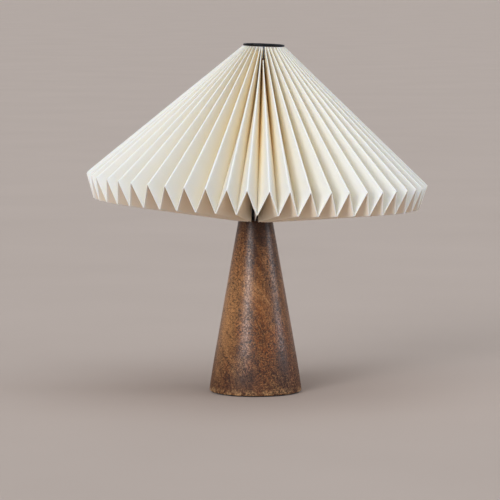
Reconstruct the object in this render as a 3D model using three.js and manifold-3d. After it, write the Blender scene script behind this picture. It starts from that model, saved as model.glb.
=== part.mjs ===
// Pleated paper table lamp, in millimetres, +Z up.
// Origin: centre of the foot on the table. The seam that shows faces -Y, and +X is to the right of it.
// The shade is built about its own axis, which leans to +X by LEAN about a point at the top of the wood.
import * as THREE from "three";
import { mergeVertices } from "three/addons/utils/BufferGeometryUtils.js";
import Module from "manifold-3d";

// ---- driving dimensions -------------------------------------------------
const FOOT_R = 55.6; // wood, widest radius, just above the table
const NECK_R = 20.6; // wood, radius at its top
const FELT_T = 1.0; // pad under the foot
const WOOD_TOP = 208.6; // top of the wood
// Turned outline of the wood as (radius, height): a straight cone that stands
// up a little near the foot.
const WOOD_LINE = [
  [NECK_R, WOOD_TOP - 0.8],
  [50.1, 40],
  [53.3, 19.5],
  [55.1, 7],
  [FOOT_R, 3],
];
const BORE_R = 5.4; // bore for the threaded tube
const RECESS_R = 24; // recess in the underside
const RECESS_TOP = 22;
const TUBE_R = 5; // M10 x 1 tube
const TUBE_BORE_R = 4;
const CORD_Z = 12.5; // height of the cord hole in the back
const CORD_HOLE_R = 5;

const LEAN = THREE.MathUtils.degToRad(2.12); // how far the shade's axis leans to +X
const PIVOT_Z = 208; // height of the shade's own origin

const PLEATS = 52; // mountain folds round the shade
const PAPER_T = 0.34; // paper thickness
const FOLD_GAP = 0.05; // half the slit left inside a closed fold
// Fold points as (radius, height) in the shade's own frame, heights from the pivot.
const M_TOP = [25, 208.6]; // mountain fold, upper end
const V_TOP = [9, 187.4]; // valley fold, upper end
const M_RIM = [205.5, 49.5]; // mountain tip at the rim
const V_RIM = [196.9, 21.7]; // valley end at the rim, where the crease turns the folds over
const M_IN = [31.5, 29]; // inner ends of the same folds under the shade
const V_IN = [31.5, 0.3];
const SEAM_TOP = 1.9; // half the open seam where the uprights pass
const SEAM_RIM = 0.2; // half the slit of every other seam
const CREASE_GAP = 1.7; // from the rim's crease to the cut edges on both sides of it
const TOP_SHIFT = 3.3; // the top opening sits this far to +X of the rim's axis
const TURN = THREE.MathUtils.degToRad(0.5); // the front seam is turned this far to +X

const RING_R = 23.6; // black ring round the top opening, to its wire's centre
const RING_WIRE_R = 1.35;
const RING_Z = 210.3;
const LOWER_RING_R = 34; // wire ring at the neck, inside the paper
const LOWER_WIRE_R = 1.3;
const CARRIER_Z = 32; // height of the carrier's rings above the pivot
const UPRIGHT_R = 1.0;

const SKIRT_R = 19.75; // lampholder skirt
const SHADE_RING_R = 28;
const SHADE_RING_BORE_R = 20.1;
const GLOBE_R = 30; // bulb
const CAP_R = 13.1; // 27 mm screw cap

// ---- helpers ------------------------------------------------------------
const wasm = await Module();
wasm.setup();

const tidy = (g) => {
  const flat = g.index ? g.toNonIndexed() : g.clone();
  const only = new THREE.BufferGeometry().setAttribute(
    "position",
    flat.getAttribute("position"),
  );
  return mergeVertices(only, 1e-3);
};

// Signed volume, to turn a surface's faces outwards.
const volume = (g) => {
  const p = g.getAttribute("position");
  const ix = g.index.array;
  const a = new THREE.Vector3(),
    b = new THREE.Vector3(),
    c = new THREE.Vector3();
  let v = 0;
  for (let i = 0; i < ix.length; i += 3) {
    a.fromBufferAttribute(p, ix[i]);
    b.fromBufferAttribute(p, ix[i + 1]);
    c.fromBufferAttribute(p, ix[i + 2]);
    v += a.dot(b.cross(c));
  }
  return v / 6;
};

const outward = (g) => {
  const m = tidy(g);
  if (volume(m) < 0) {
    const ix = m.index.array;
    for (let i = 0; i < ix.length; i += 3)
      [ix[i + 1], ix[i + 2]] = [ix[i + 2], ix[i + 1]];
  }
  return m;
};

const toSolid = (g) => {
  const m = outward(g);
  return new wasm.Manifold(
    new wasm.Mesh({
      numProp: 3,
      vertProperties: new Float32Array(m.getAttribute("position").array),
      triVerts: new Uint32Array(m.index.array),
    }),
  );
};

const fromSolid = (s) => {
  const m = s.getMesh();
  const n = m.numProp;
  const v = new Float32Array(m.numVert * 3);
  for (let i = 0; i < m.numVert; i++)
    v.set(m.vertProperties.subarray(i * n, i * n + 3), i * 3);
  return new THREE.BufferGeometry()
    .setAttribute("position", new THREE.BufferAttribute(v, 3))
    .setIndex(new THREE.BufferAttribute(new Uint32Array(m.triVerts), 1));
};

// Turned piece: profile of [radius, height] pairs. A profile that isn't on the axis at both ends is closed.
const lathe = (profile, segments = 40) => {
  const pts = profile.map(([r, z]) => new THREE.Vector2(r, z));
  const first = profile[0],
    last = profile[profile.length - 1];
  if (!(first[0] === 0 && last[0] === 0)) pts.push(pts[0].clone());
  return outward(new THREE.LatheGeometry(pts, segments).rotateX(Math.PI / 2));
};

const ringTube = (radius, wire, z, sides = 10, segments = 48) => {
  const prof = [];
  for (let i = 0; i < sides; i++) {
    const a = (i / sides) * 2 * Math.PI;
    prof.push([radius + wire * Math.cos(a), z + wire * Math.sin(a)]);
  }
  return lathe(prof, segments);
};

const disc = (radius, sides) => {
  const s = new THREE.Shape();
  for (let i = 0; i <= sides; i++) {
    const a = (i / sides) * 2 * Math.PI;
    const x = radius * Math.cos(a),
      y = radius * Math.sin(a);
    if (i === 0) s.moveTo(x, y);
    else s.lineTo(x, y);
  }
  return s;
};

// Prism of a shape from z0 to z1, with round holes given as [x, y, radius].
const prism = (shape, z0, z1, holes = [], sides = 24) => {
  for (const [hx, hy, hr] of holes) {
    const h = new THREE.Path();
    for (let i = 0; i <= sides; i++) {
      const a = -(i / sides) * 2 * Math.PI;
      const x = hx + hr * Math.cos(a),
        y = hy + hr * Math.sin(a);
      if (i === 0) h.moveTo(x, y);
      else h.lineTo(x, y);
    }
    shape.holes.push(h);
  }
  return outward(
    new THREE.ExtrudeGeometry(shape, {
      depth: z1 - z0,
      bevelEnabled: false,
      steps: 1,
      curveSegments: 1,
    }).translate(0, 0, z0),
  );
};

const hexNut = (acrossFlats, bore, z0, z1) =>
  prism(disc(acrossFlats / Math.sqrt(3), 6), z0, z1, [[0, 0, bore]]);

// Wire along a path of points: a tube with flat ends.
const wireAlong = (points, radius, sides = 8, steps = 1, smooth = false) => {
  const v = points.map((p) => new THREE.Vector3(...p));
  let curve;
  if (smooth) curve = new THREE.CatmullRomCurve3(v, false, "centripetal");
  else {
    curve = new THREE.CurvePath();
    for (let i = 0; i + 1 < v.length; i++)
      curve.add(new THREE.LineCurve3(v[i], v[i + 1]));
  }
  return outward(
    new THREE.ExtrudeGeometry(disc(radius, sides), {
      steps,
      bevelEnabled: false,
      extrudePath: smooth ? curve : curve.curves.length === 1 ? curve.curves[0] : curve,
    }),
  );
};

const box = (w, d, h, x, y, z) =>
  outward(new THREE.BoxGeometry(w, d, h).translate(x, y, z));

// ---- the pleated paper --------------------------------------------------
// Folds are counted from the front seam, 0 .. 2 * PLEATS, and even ones are
// valleys. A strip runs from one valley to another, and is glued to its
// neighbours there. Each strip has two pieces, the cone above the rim's crease
// and the underside below it.
const FOLDS = 2 * PLEATS;
const UP = new THREE.Vector2(
  M_TOP[1] - M_RIM[1],
  M_RIM[0] - M_TOP[0],
).normalize(); // outward normal of the upper cone, as (radius, height)
const UNDER = new THREE.Vector2(
  V_RIM[1] - V_IN[1],
  -(V_RIM[0] - V_IN[0]),
).normalize(); // outward (downward) normal of the underside

const mix = (a, b, t) => [a[0] + (b[0] - a[0]) * t, a[1] + (b[1] - a[1]) * t];
const far = (a, b) => Math.hypot(a[0] - b[0], a[1] - b[1]);

function pleated(from, to, above) {
  const t = PAPER_T,
    g = FOLD_GAP;
  const [m0, v0, m1, v1] = above
    ? [M_TOP, V_TOP, M_RIM, V_RIM]
    : [M_RIM, V_RIM, M_IN, V_IN];
  const normal = above ? UP : UNDER;
  // One row of points for each end of the piece and each face of the paper:
  // the fold points, the paper's distance from the fold's azimuth on mountain
  // and valley, and the face's shift along the piece's normal.
  const ends = above ? [0, 1 - CREASE_GAP / far(m0, m1)] : [CREASE_GAP / far(m0, m1), 1];
  const rows = (face) =>
    ends.map((u) => ({
      m: mix(m0, m1, u),
      v: mix(v0, v1, u),
      om: (above ? face > 0 : face < 0) ? g + t : g,
      ov: (above ? face > 0 : face < 0) ? g : g + t,
      d: (face * t) / 2,
      u: above ? u : 1,
    }));
  const pos = [];
  const row = (s) => {
    const ids = [];
    // The front and back seams are open at the top.
    const slit = (j) =>
      SEAM_RIM + (j % PLEATS === 0 ? (SEAM_TOP - SEAM_RIM) * (1 - s.u) : 0);
    for (let j = from; j <= to; j++) {
      const valley = j % 2 === 0;
      const p = valley ? s.v : s.m;
      const r = p[0] + normal.x * s.d;
      const z = p[1] + normal.y * s.d;
      // next to an open seam the folds draw together
      let a = (j / FOLDS) * 2 * Math.PI;
      if (j === from) a += Math.asin(slit(j) / p[0]);
      if (j === to) a -= Math.asin(slit(j) / p[0]);
      a += TURN;
      const off = valley ? s.ov : s.om;
      const sides = j === from ? [1] : j === to ? [-1] : [-1, 1];
      for (const w of sides) {
        // front is -Y; the tangential offset is straight, not an angle
        const x = r * Math.sin(a) + w * off * Math.cos(a);
        const y = -r * Math.cos(a) + w * off * Math.sin(a);
        ids.push(pos.length / 3);
        pos.push(x + TOP_SHIFT * (1 - s.u), y, z);
      }
    }
    return ids;
  };
  const O = rows(1).map(row),
    I = rows(-1).map(row);
  const tri = [];
  const quad = (a, b, c, d) => tri.push(a, b, c, a, c, d);
  const n = O[0].length;
  for (let i = 0; i + 1 < n; i++) {
    quad(O[0][i], O[1][i], O[1][i + 1], O[0][i + 1]);
    quad(I[0][i], I[0][i + 1], I[1][i + 1], I[1][i]);
    quad(O[0][i], O[0][i + 1], I[0][i + 1], I[0][i]);
    quad(O[1][i], I[1][i], I[1][i + 1], O[1][i + 1]);
  }
  quad(O[0][0], I[0][0], I[1][0], O[1][0]);
  quad(O[0][n - 1], O[1][n - 1], I[1][n - 1], I[0][n - 1]);
  return outward(
    new THREE.BufferGeometry()
      .setAttribute("position", new THREE.Float32BufferAttribute(pos, 3))
      .setIndex(tri),
  );
}

// ---- scene graph --------------------------------------------------------
const lamp = new THREE.Group();
lamp.name = "pleated_paper_table_lamp";
const shade = new THREE.Group(); // the shade's own frame
// the axis passes through the middle of the seat, on the foot's own axis
shade.position.set(-CARRIER_Z * Math.sin(LEAN), 0, PIVOT_Z);
shade.rotation.set(0, LEAN, 0);
lamp.add(shade);

const paint = (color, roughness, metalness = 0, extra = {}) =>
  new THREE.MeshStandardMaterial({ color, roughness, metalness, ...extra });
const add = (parent, name, geometry, material) => {
  const g = geometry.clone();
  g.computeVertexNormals();
  const mesh = new THREE.Mesh(g, material);
  mesh.name = name;
  parent.add(mesh);
  return mesh;
};

// Foot: one turned piece of wood with a bore, a recess and a cord hole.
{
  const z0 = FELT_T + 0.3;
  const body = lathe(
    [
      [BORE_R, WOOD_TOP],
      [NECK_R - 0.8, WOOD_TOP],
      ...WOOD_LINE,
      [FOOT_R - 0.15, z0 + 0.6],
      [FOOT_R - 0.8, z0],
      [RECESS_R, z0],
      [RECESS_R, RECESS_TOP],
      [BORE_R, RECESS_TOP],
    ],
    56,
  );
  const drill = new THREE.CylinderGeometry(CORD_HOLE_R, CORD_HOLE_R, 60, 24)
    .translate(0, 45, 0)
    .translate(0, 0, CORD_Z);
  add(
    lamp,
    "wood_base",
    fromSolid(toSolid(body).subtract(toSolid(drill))),
    paint(0x6f4528, 0.42),
  );
}
add(
  lamp,
  "felt_pad",
  lathe(
    [
      [0, 0],
      [FOOT_R - 2.5, 0],
      [FOOT_R - 2.5, FELT_T],
      [0, FELT_T],
    ],
    64,
  ),
  paint(0x15120f, 0.95),
);
// Cord bush: a flanged sleeve in the hole at the back, its flange on the cone.
{
  const bush = lathe(
    [
      [3.3, 0],
      [CORD_HOLE_R - 0.3, 0],
      [CORD_HOLE_R - 0.3, 27.2],
      [7, 28.6],
      [7, 30.2],
      [6.2, 31],
      [3.3, 31],
    ],
    28,
  );
  bush.rotateX(-Math.PI / 2).translate(0, 26.9, CORD_Z);
  // The cone leans away from the hole, so the flange is trimmed to clear the wood.
  const wood = lathe(
    [
      [0, 0],
      [FOOT_R + 0.7, 0],
      ...WOOD_LINE.map(([r, z]) => [r + 0.7, z]).reverse(),
      [0, WOOD_TOP - 0.8],
    ],
    64,
  );
  const sleeve = new THREE.CylinderGeometry(
    CORD_HOLE_R - 0.3,
    CORD_HOLE_R - 0.3,
    60,
    28,
  ).translate(0, 40, CORD_Z);
  const flange = toSolid(bush).subtract(toSolid(wood).subtract(toSolid(sleeve)));
  add(lamp, "cord_bush", fromSolid(flange), paint(0x14120f, 0.6));
}
// Fixings through the wood.
add(
  lamp,
  "threaded_tube",
  lathe(
    [
      [TUBE_BORE_R, 11],
      [TUBE_R - 0.4, 11],
      [TUBE_R, 11.4],
      [TUBE_R, 216.6],
      [TUBE_R - 0.4, 217],
      [TUBE_BORE_R, 217],
    ],
    28,
  ),
  paint(0x9c9a94, 0.38, 1),
);
add(
  lamp,
  "bottom_washer",
  lathe(
    [
      [5.4, RECESS_TOP - 2.0],
      [14.6, RECESS_TOP - 2.0],
      [15, RECESS_TOP - 1.6],
      [15, RECESS_TOP - 0.3],
      [5.4, RECESS_TOP - 0.3],
    ],
    36,
  ),
  paint(0xa8a69f, 0.4, 1),
);
add(
  lamp,
  "bottom_nut",
  hexNut(15, 5.3, RECESS_TOP - 6.8, RECESS_TOP - 2.3),
  paint(0xa39a7c, 0.38, 1),
);
add(
  lamp,
  "top_washer",
  lathe(
    [
      [5.3, WOOD_TOP + 0.3],
      [20.3, WOOD_TOP + 0.3],
      [20.6, WOOD_TOP + 0.6],
      [20.6, WOOD_TOP + 1.3],
      [20.3, WOOD_TOP + 1.6],
      [5.3, WOOD_TOP + 1.6],
    ],
    40,
  ),
  paint(0x0d0d0e, 0.35),
);

// Lampholder.
const H0 = WOOD_TOP + 1.9; // underside of the dome
add(
  lamp,
  "lampholder_dome",
  lathe(
    [
      [5.3, H0],
      [15.4, H0],
      [17.6, H0 + 0.9],
      [18.9, H0 + 2.6],
      [19.3, H0 + 5],
      [19.3, H0 + 20.6],
      [17.3, H0 + 20.6],
      [17.3, H0 + 5.5],
      [15.5, H0 + 2.6],
      [5.3, H0 + 2.6],
    ],
    32,
  ),
  paint(0x101012, 0.32),
);
add(
  lamp,
  "holder_nut",
  hexNut(14, 5.3, H0 + 2.9, H0 + 6.1),
  paint(0xa39a7c, 0.38, 1),
);
{
  // Skirt: outside thread for the shade rings, inside thread for the cap.
  const thread = [];
  const z0 = H0 + 20.9,
    z1 = H0 + 55.6;
  thread.push([17.3, z0]);
  thread.push([SKIRT_R, z0]);
  thread.push([SKIRT_R, z0 + 1.4]);
  thread.push([SKIRT_R - 0.7, z0 + 1.9]);
  thread.push([SKIRT_R - 0.7, z1 - 2.6]);
  thread.push([SKIRT_R, z1 - 2.1]);
  thread.push([SKIRT_R, z1 - 0.7]);
  thread.push([SKIRT_R - 0.7, z1]);
  thread.push([15.2, z1]);
  thread.push([14.3, z1 - 1.2]);
  thread.push([14.3, z0 + 9.2]);
  thread.push([17.3, z0 + 9.2]);
  add(lamp, "lampholder_skirt", lathe(thread, 32), paint(0x101012, 0.32));
}
{
  // Insulating insert: a stepped disc with a slot for the centre contact.
  const z0 = H0 + 13,
    z1 = H0 + 29.0;
  const body = lathe(
    [
      [0, z0],
      [16.2, z0],
      [17.0, z0 + 0.8],
      [17.0, z1 - 1.2],
      [16.4, z1 - 0.4],
      [0, z1 - 0.4],
    ],
    36,
  );
  const slot = box(7.4, 25, 3.4, 0, 6.2, z1 - 1.4);
  const holeA = new THREE.CylinderGeometry(2.2, 2.2, 8, 16)
    .rotateX(Math.PI / 2)
    .translate(9.5, 0, z0);
  const holeB = holeA.clone().translate(-19, 0, 0);
  // flats for the side contacts
  const flatA = box(4, 7, 20, 17.0, 0, z1 - 4);
  const flatB = box(4, 7, 20, -17.0, 0, z1 - 4);
  const s = toSolid(body)
    .subtract(toSolid(slot))
    .subtract(toSolid(holeA))
    .subtract(toSolid(holeB))
    .subtract(toSolid(flatA))
    .subtract(toSolid(flatB));
  add(lamp, "lampholder_insert", fromSolid(s), paint(0xe9e6dc, 0.4));
  // Terminal screws in the underside.
  for (const [name, x] of [
    ["terminal_screw_left", -9.5],
    ["terminal_screw_right", 9.5],
  ])
    add(
      lamp,
      name,
      lathe(
        [
          [0, z0 - 2.4],
          [3.0, z0 - 2.4],
          [3.3, z0 - 2.1],
          [3.3, z0 - 0.5],
          [1.8, z0 - 0.5],
          [1.8, z0 + 3.4],
          [0, z0 + 3.4],
        ],
        20,
      ).translate(x, 0, 0),
      paint(0xb89a55, 0.35, 1),
    );
  // Side contacts: strips that touch the cap's thread.
  for (const [name, s1] of [
    ["side_contact_right", 1],
    ["side_contact_left", -1],
  ]) {
    const strip = new THREE.Shape();
    const pts = [
      [15.5, z1 - 12],
      [15.9, z1 - 12],
      [15.9, z1 - 0.4],
      [14.05, z1 + 0.8],
      [14.05, z1 + 11],
      [13.65, z1 + 11],
      [13.65, z1 + 0.7],
      [15.5, z1 - 0.5],
    ];
    strip.moveTo(pts[0][0], pts[0][1]);
    for (const p of pts.slice(1)) strip.lineTo(p[0], p[1]);
    strip.closePath();
    const g = new THREE.ExtrudeGeometry(strip, {
      depth: 5,
      bevelEnabled: false,
      steps: 1,
    })
      .translate(0, 0, -2.5)
      .rotateX(Math.PI / 2);
    if (s1 < 0) g.rotateZ(Math.PI);
    add(lamp, name, outward(g), paint(0xc9a55c, 0.3, 1));
  }
  // Centre contact: a folded tongue that the cap's tip presses down.
  const tongue = new THREE.Shape();
  const tp = [
    [-4.2, z1 - 0.1],
    [4.2, z1 - 0.1],
    [5.6, z1 - 1.0],
    [13.6, z1 - 1.0],
    [13.6, z1 - 0.55],
    [5.8, z1 - 0.55],
    [4.4, z1 + 0.4],
    [-4.4, z1 + 0.4],
  ];
  tongue.moveTo(tp[0][0], tp[0][1]);
  for (const p of tp.slice(1)) tongue.lineTo(p[0], p[1]);
  tongue.closePath();
  const g = new THREE.ExtrudeGeometry(tongue, {
    depth: 5.6,
    bevelEnabled: false,
    steps: 1,
  })
    .translate(0, 0, -2.8)
    .rotateX(Math.PI / 2)
    .rotateZ(Math.PI / 2);
  add(lamp, "centre_contact", outward(g), paint(0xc9a55c, 0.3, 1));
}
// Shade rings: knurled nuts on the skirt.
const shadeRing = (z0) => {
  const teeth = 36;
  const s = new THREE.Shape();
  for (let i = 0; i <= teeth * 2; i++) {
    const a = (i / (teeth * 2)) * 2 * Math.PI;
    const r = SHADE_RING_R - (i % 2 ? 0.7 : 0);
    const x = r * Math.cos(a),
      y = r * Math.sin(a);
    if (i === 0) s.moveTo(x, y);
    else s.lineTo(x, y);
  }
  return prism(s, z0, z0 + 6.6, [[0, 0, SHADE_RING_BORE_R]], 36);
};
const SEAT_Z = PIVOT_Z + CARRIER_Z; // height of the shade's seat
add(
  lamp,
  "shade_ring_lower",
  shadeRing(SEAT_Z - 4.1 - 6.6),
  paint(0x121214, 0.34),
);
add(
  lamp,
  "shade_ring_upper",
  shadeRing(SEAT_Z + 2.5),
  paint(0x121214, 0.34),
);

// Shade: everything below is in its leaning frame.
add(
  shade,
  "reducer_ring",
  lathe(
    [
      [21.5, CARRIER_Z - 2.7],
      [27.2, CARRIER_Z - 2.7],
      [27.2, CARRIER_Z - 1.2],
      [23.0, CARRIER_Z - 1.2],
      [23.0, CARRIER_Z + 0.8],
      [21.5, CARRIER_Z + 0.8],
    ],
    36,
  ),
  paint(0xd8d4c8, 0.5),
);
add(
  shade,
  "spider_ring",
  lathe(
    [
      [23.4, CARRIER_Z - 0.9],
      [28.2, CARRIER_Z - 0.9],
      [28.2, CARRIER_Z + 0.3],
      [23.4, CARRIER_Z + 0.3],
    ],
    36,
  ),
  paint(0x111113, 0.35, 0.2),
);
[90, 210, 330].forEach((deg, i) => {
  const a = THREE.MathUtils.degToRad(deg - 90);
  const c = Math.cos(a),
    s = Math.sin(a);
  add(
    shade,
    "spider_arm_" + (i + 1),
    wireAlong(
      [
        [28.55 * c, 28.55 * s, CARRIER_Z - 0.1],
        [(LOWER_RING_R - LOWER_WIRE_R - 0.3) * c, (LOWER_RING_R - LOWER_WIRE_R - 0.3) * s, CARRIER_Z - 0.1],
      ],
      1.0,
      8,
    ),
    paint(0x111113, 0.35, 0.2),
  );
});
add(
  shade,
  "lower_wire_ring",
  ringTube(LOWER_RING_R, LOWER_WIRE_R, CARRIER_Z, 6, 44),
  paint(0x111113, 0.35, 0.2),
);
add(
  shade,
  "top_ring",
  ringTube(RING_R, RING_WIRE_R, RING_Z, 10, 52).translate(TOP_SHIFT, 0, 0),
  paint(0x0b0b0c, 0.22, 0.2),
);
for (const [name, s] of [
  ["upright_front", -1],
  ["upright_rear", 1],
])
  add(
    shade,
    name,
    wireAlong(
      [
        [0, s * (LOWER_RING_R - 0.1), CARRIER_Z + LOWER_WIRE_R + 0.35],
        [0.25 * TOP_SHIFT, s * 35.6, 75],
        [0.5 * TOP_SHIFT, s * 35.8, 120],
        [0.72 * TOP_SHIFT, s * 33.8, 150],
        [0.95 * TOP_SHIFT, s * 28.8, 180],
        [TOP_SHIFT, s * RING_R, RING_Z - RING_WIRE_R - 0.35],
      ],
      UPRIGHT_R,
      8,
      18,
      true,
    ),
    paint(0x0b0b0c, 0.25, 0.2),
  );
// The strips' seams, as fold numbers: the front one shows, 52 is at the back.
const SEAMS = [0, 12, 26, 40, 52, 64, 78, 92, 104];
for (let i = 0; i + 1 < SEAMS.length; i++) {
  add(
    shade,
    "paper_cone_" + (i + 1),
    pleated(SEAMS[i], SEAMS[i + 1], true),
    paint(0xf0ebdd, 0.85),
  );
  add(
    shade,
    "paper_underside_" + (i + 1),
    pleated(SEAMS[i], SEAMS[i + 1], false),
    paint(0xe6dcc8, 0.85),
  );
}

// Bulb, upright in the holder.
{
  const tip = H0 + 29.8; // lowest point of the cap's tip
  add(
    lamp,
    "bulb_tip",
    lathe(
      [
        [0, tip],
        [3.2, tip + 0.1],
        [4.6, tip + 0.7],
        [4.6, tip + 1.2],
        [0, tip + 1.2],
      ],
      24,
    ),
    paint(0xb9b7b0, 0.35, 1),
  );
  add(
    lamp,
    "bulb_insulator",
    lathe(
      [
        [0, tip + 1.5],
        [5.4, tip + 1.5],
        [10.6, tip + 4.4],
        [10.6, tip + 5.2],
        [0, tip + 5.2],
      ],
      28,
    ),
    paint(0x101014, 0.25),
  );
  // Cap: a rolled thread, thin wall, open at the top.
  const cap = [];
  const c0 = tip + 5.5,
    c1 = tip + 27;
  cap.push([9, c0]);
  cap.push([11.6, c0]);
  const turns = 3;
  for (let i = 0; i <= turns * 4; i++) {
    const z = c0 + 1.2 + (i / (turns * 4)) * 16.5;
    cap.push([CAP_R - 0.55 + 0.55 * Math.cos((i / 4) * 2 * Math.PI), z]);
  }
  cap.push([CAP_R - 0.1, c0 + 18.6]);
  cap.push([CAP_R - 0.1, c1]);
  cap.push([CAP_R - 0.5, c1]);
  cap.push([11.7, c0 + 18.6]);
  cap.push([11.7, c0 + 1.6]);
  cap.push([9, c0 + 1.0]);
  add(lamp, "bulb_cap", lathe(cap, 28), paint(0xc4c2bb, 0.28, 1));
  // Globe: blown glass, open where the cap closes it.
  const gc = tip + 105 - GLOBE_R;
  const out = [],
    inn = [];
  out.push([11.2, c1 - 6]);
  out.push([11.3, c1 + 2]);
  out.push([13.2, c1 + 9]);
  out.push([18.4, c1 + 19]);
  for (let i = 0; i <= 8; i++) {
    const a = THREE.MathUtils.degToRad(-40 + (i / 8) * 130);
    out.push([
      i === 8 ? 0 : GLOBE_R * Math.cos(a),
      gc + GLOBE_R * Math.sin(a),
    ]);
  }
  for (let i = 8; i >= 0; i--) {
    const a = THREE.MathUtils.degToRad(-40 + (i / 8) * 130);
    const r = GLOBE_R - 0.8;
    inn.push([i === 8 ? 0 : r * Math.cos(a), gc + r * Math.sin(a)]);
  }
  inn.push([17.6, c1 + 19]);
  inn.push([12.4, c1 + 9]);
  inn.push([10.5, c1 + 2]);
  inn.push([10.4, c1 - 6]);
  // Turned as two surfaces of one closed shell: the outline meets the axis twice.
  const outline = [...out, ...inn];
  const pts = outline.map(([r, z]) => new THREE.Vector2(r, z));
  pts.push(pts[0].clone());
  add(
    lamp,
    "bulb_globe",
    outward(new THREE.LatheGeometry(pts, 28).rotateX(Math.PI / 2)),
    paint(0xfbf8ee, 0.12, 0, { transparent: true, opacity: 0.5 }),
  );
  add(
    lamp,
    "bulb_stem",
    lathe(
      [
        [0, c1 - 5],
        [9.6, c1 - 5],
        [9.4, c1 - 3.6],
        [4.2, c1 + 3],
        [3.0, c1 + 8],
        [2.6, c1 + 20],
        [3.2, c1 + 25],
        [2.0, c1 + 27],
        [0, c1 + 27.4],
      ],
      24,
    ),
    paint(0xe8ece9, 0.1, 0, { transparent: true, opacity: 0.6 }),
  );
  // Filaments: four straight sticks joined into one standing zigzag round the stem.
  const zig = [];
  for (let i = 0; i <= 7; i++) {
    const a = THREE.MathUtils.degToRad(20 + i * 42);
    const low = i % 2 === 0;
    zig.push([
      (low ? 8.5 : 7.0) * Math.cos(a),
      (low ? 8.5 : 7.0) * Math.sin(a),
      low ? c1 + 16 : c1 + 46,
    ]);
  }
  const v = zig.map((p) => new THREE.Vector3(...p));
  const path = new THREE.CurvePath();
  for (let i = 0; i + 1 < v.length; i++)
    path.add(new THREE.LineCurve3(v[i], v[i + 1]));
  add(
    lamp,
    "bulb_filament",
    outward(
      new THREE.ExtrudeGeometry(disc(0.8, 6), {
        steps: 28,
        bevelEnabled: false,
        extrudePath: new THREE.CatmullRomCurve3(v, false, "centripetal"),
      }),
    ),
    paint(0xf0c24a, 0.5),
  );
}

export default lamp;
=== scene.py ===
import math

import bpy
import numpy as np
from mathutils import Matrix, Vector


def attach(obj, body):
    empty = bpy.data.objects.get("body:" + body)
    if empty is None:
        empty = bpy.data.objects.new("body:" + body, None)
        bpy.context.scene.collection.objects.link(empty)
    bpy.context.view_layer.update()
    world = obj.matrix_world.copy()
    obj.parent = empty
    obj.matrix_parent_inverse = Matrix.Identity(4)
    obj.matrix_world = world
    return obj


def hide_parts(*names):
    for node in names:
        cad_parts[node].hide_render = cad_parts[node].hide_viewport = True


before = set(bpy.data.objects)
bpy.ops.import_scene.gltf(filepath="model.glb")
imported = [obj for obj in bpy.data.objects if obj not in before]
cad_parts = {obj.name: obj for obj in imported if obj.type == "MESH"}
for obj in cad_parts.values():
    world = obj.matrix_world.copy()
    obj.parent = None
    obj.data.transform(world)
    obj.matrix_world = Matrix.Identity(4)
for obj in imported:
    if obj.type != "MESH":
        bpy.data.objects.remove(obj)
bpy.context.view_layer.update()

# ---------------------------------------------------------------- dimensions
# Millimetres, as in the CAD; everything is turned to metres where it is made.
MM = 0.001
FOOT_R, NECK_R, FELT_T, WOOD_TOP = 55.6, 20.6, 1.0, 208.6
WOOD_LINE = [(NECK_R, WOOD_TOP - 0.8), (50.1, 40.0), (53.3, 19.5), (55.1, 7.0), (FOOT_R, 3.0)]
BORE_R, RECESS_R, RECESS_TOP = 5.4, 24.0, 22.0
CORD_Z, CORD_HOLE_R = 12.5, 5.0
LEAN, PIVOT_Z = math.radians(2.12), 208.0
PLEATS = 52
M_TOP, V_TOP = (25.0, 208.6), (9.0, 187.4)
M_RIM, V_RIM = (205.5, 49.5), (196.9, 21.7)
M_IN, V_IN = (31.5, 29.0), (31.5, 0.3)
TOP_SHIFT, TURN = 3.3, math.radians(0.5)
RING_R, RING_WIRE_R, RING_Z = 23.6, 1.35, 210.3
LOWER_RING_R, LOWER_WIRE_R, CARRIER_Z = 34.0, 1.3, 32.0
UPRIGHT_R = 1.0
SKIRT_R, SHADE_RING_R, SHADE_RING_BORE_R, GLOBE_R, CAP_R = 19.75, 28.0, 20.1, 30.0, 13.1
H0 = WOOD_TOP + 1.9
SEAT_Z = PIVOT_Z + CARRIER_Z

LEAN_M = Matrix.Translation((-CARRIER_Z * math.sin(LEAN) * MM, 0, PIVOT_Z * MM)) @ Matrix.Rotation(LEAN, 4, "Y")


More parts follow.
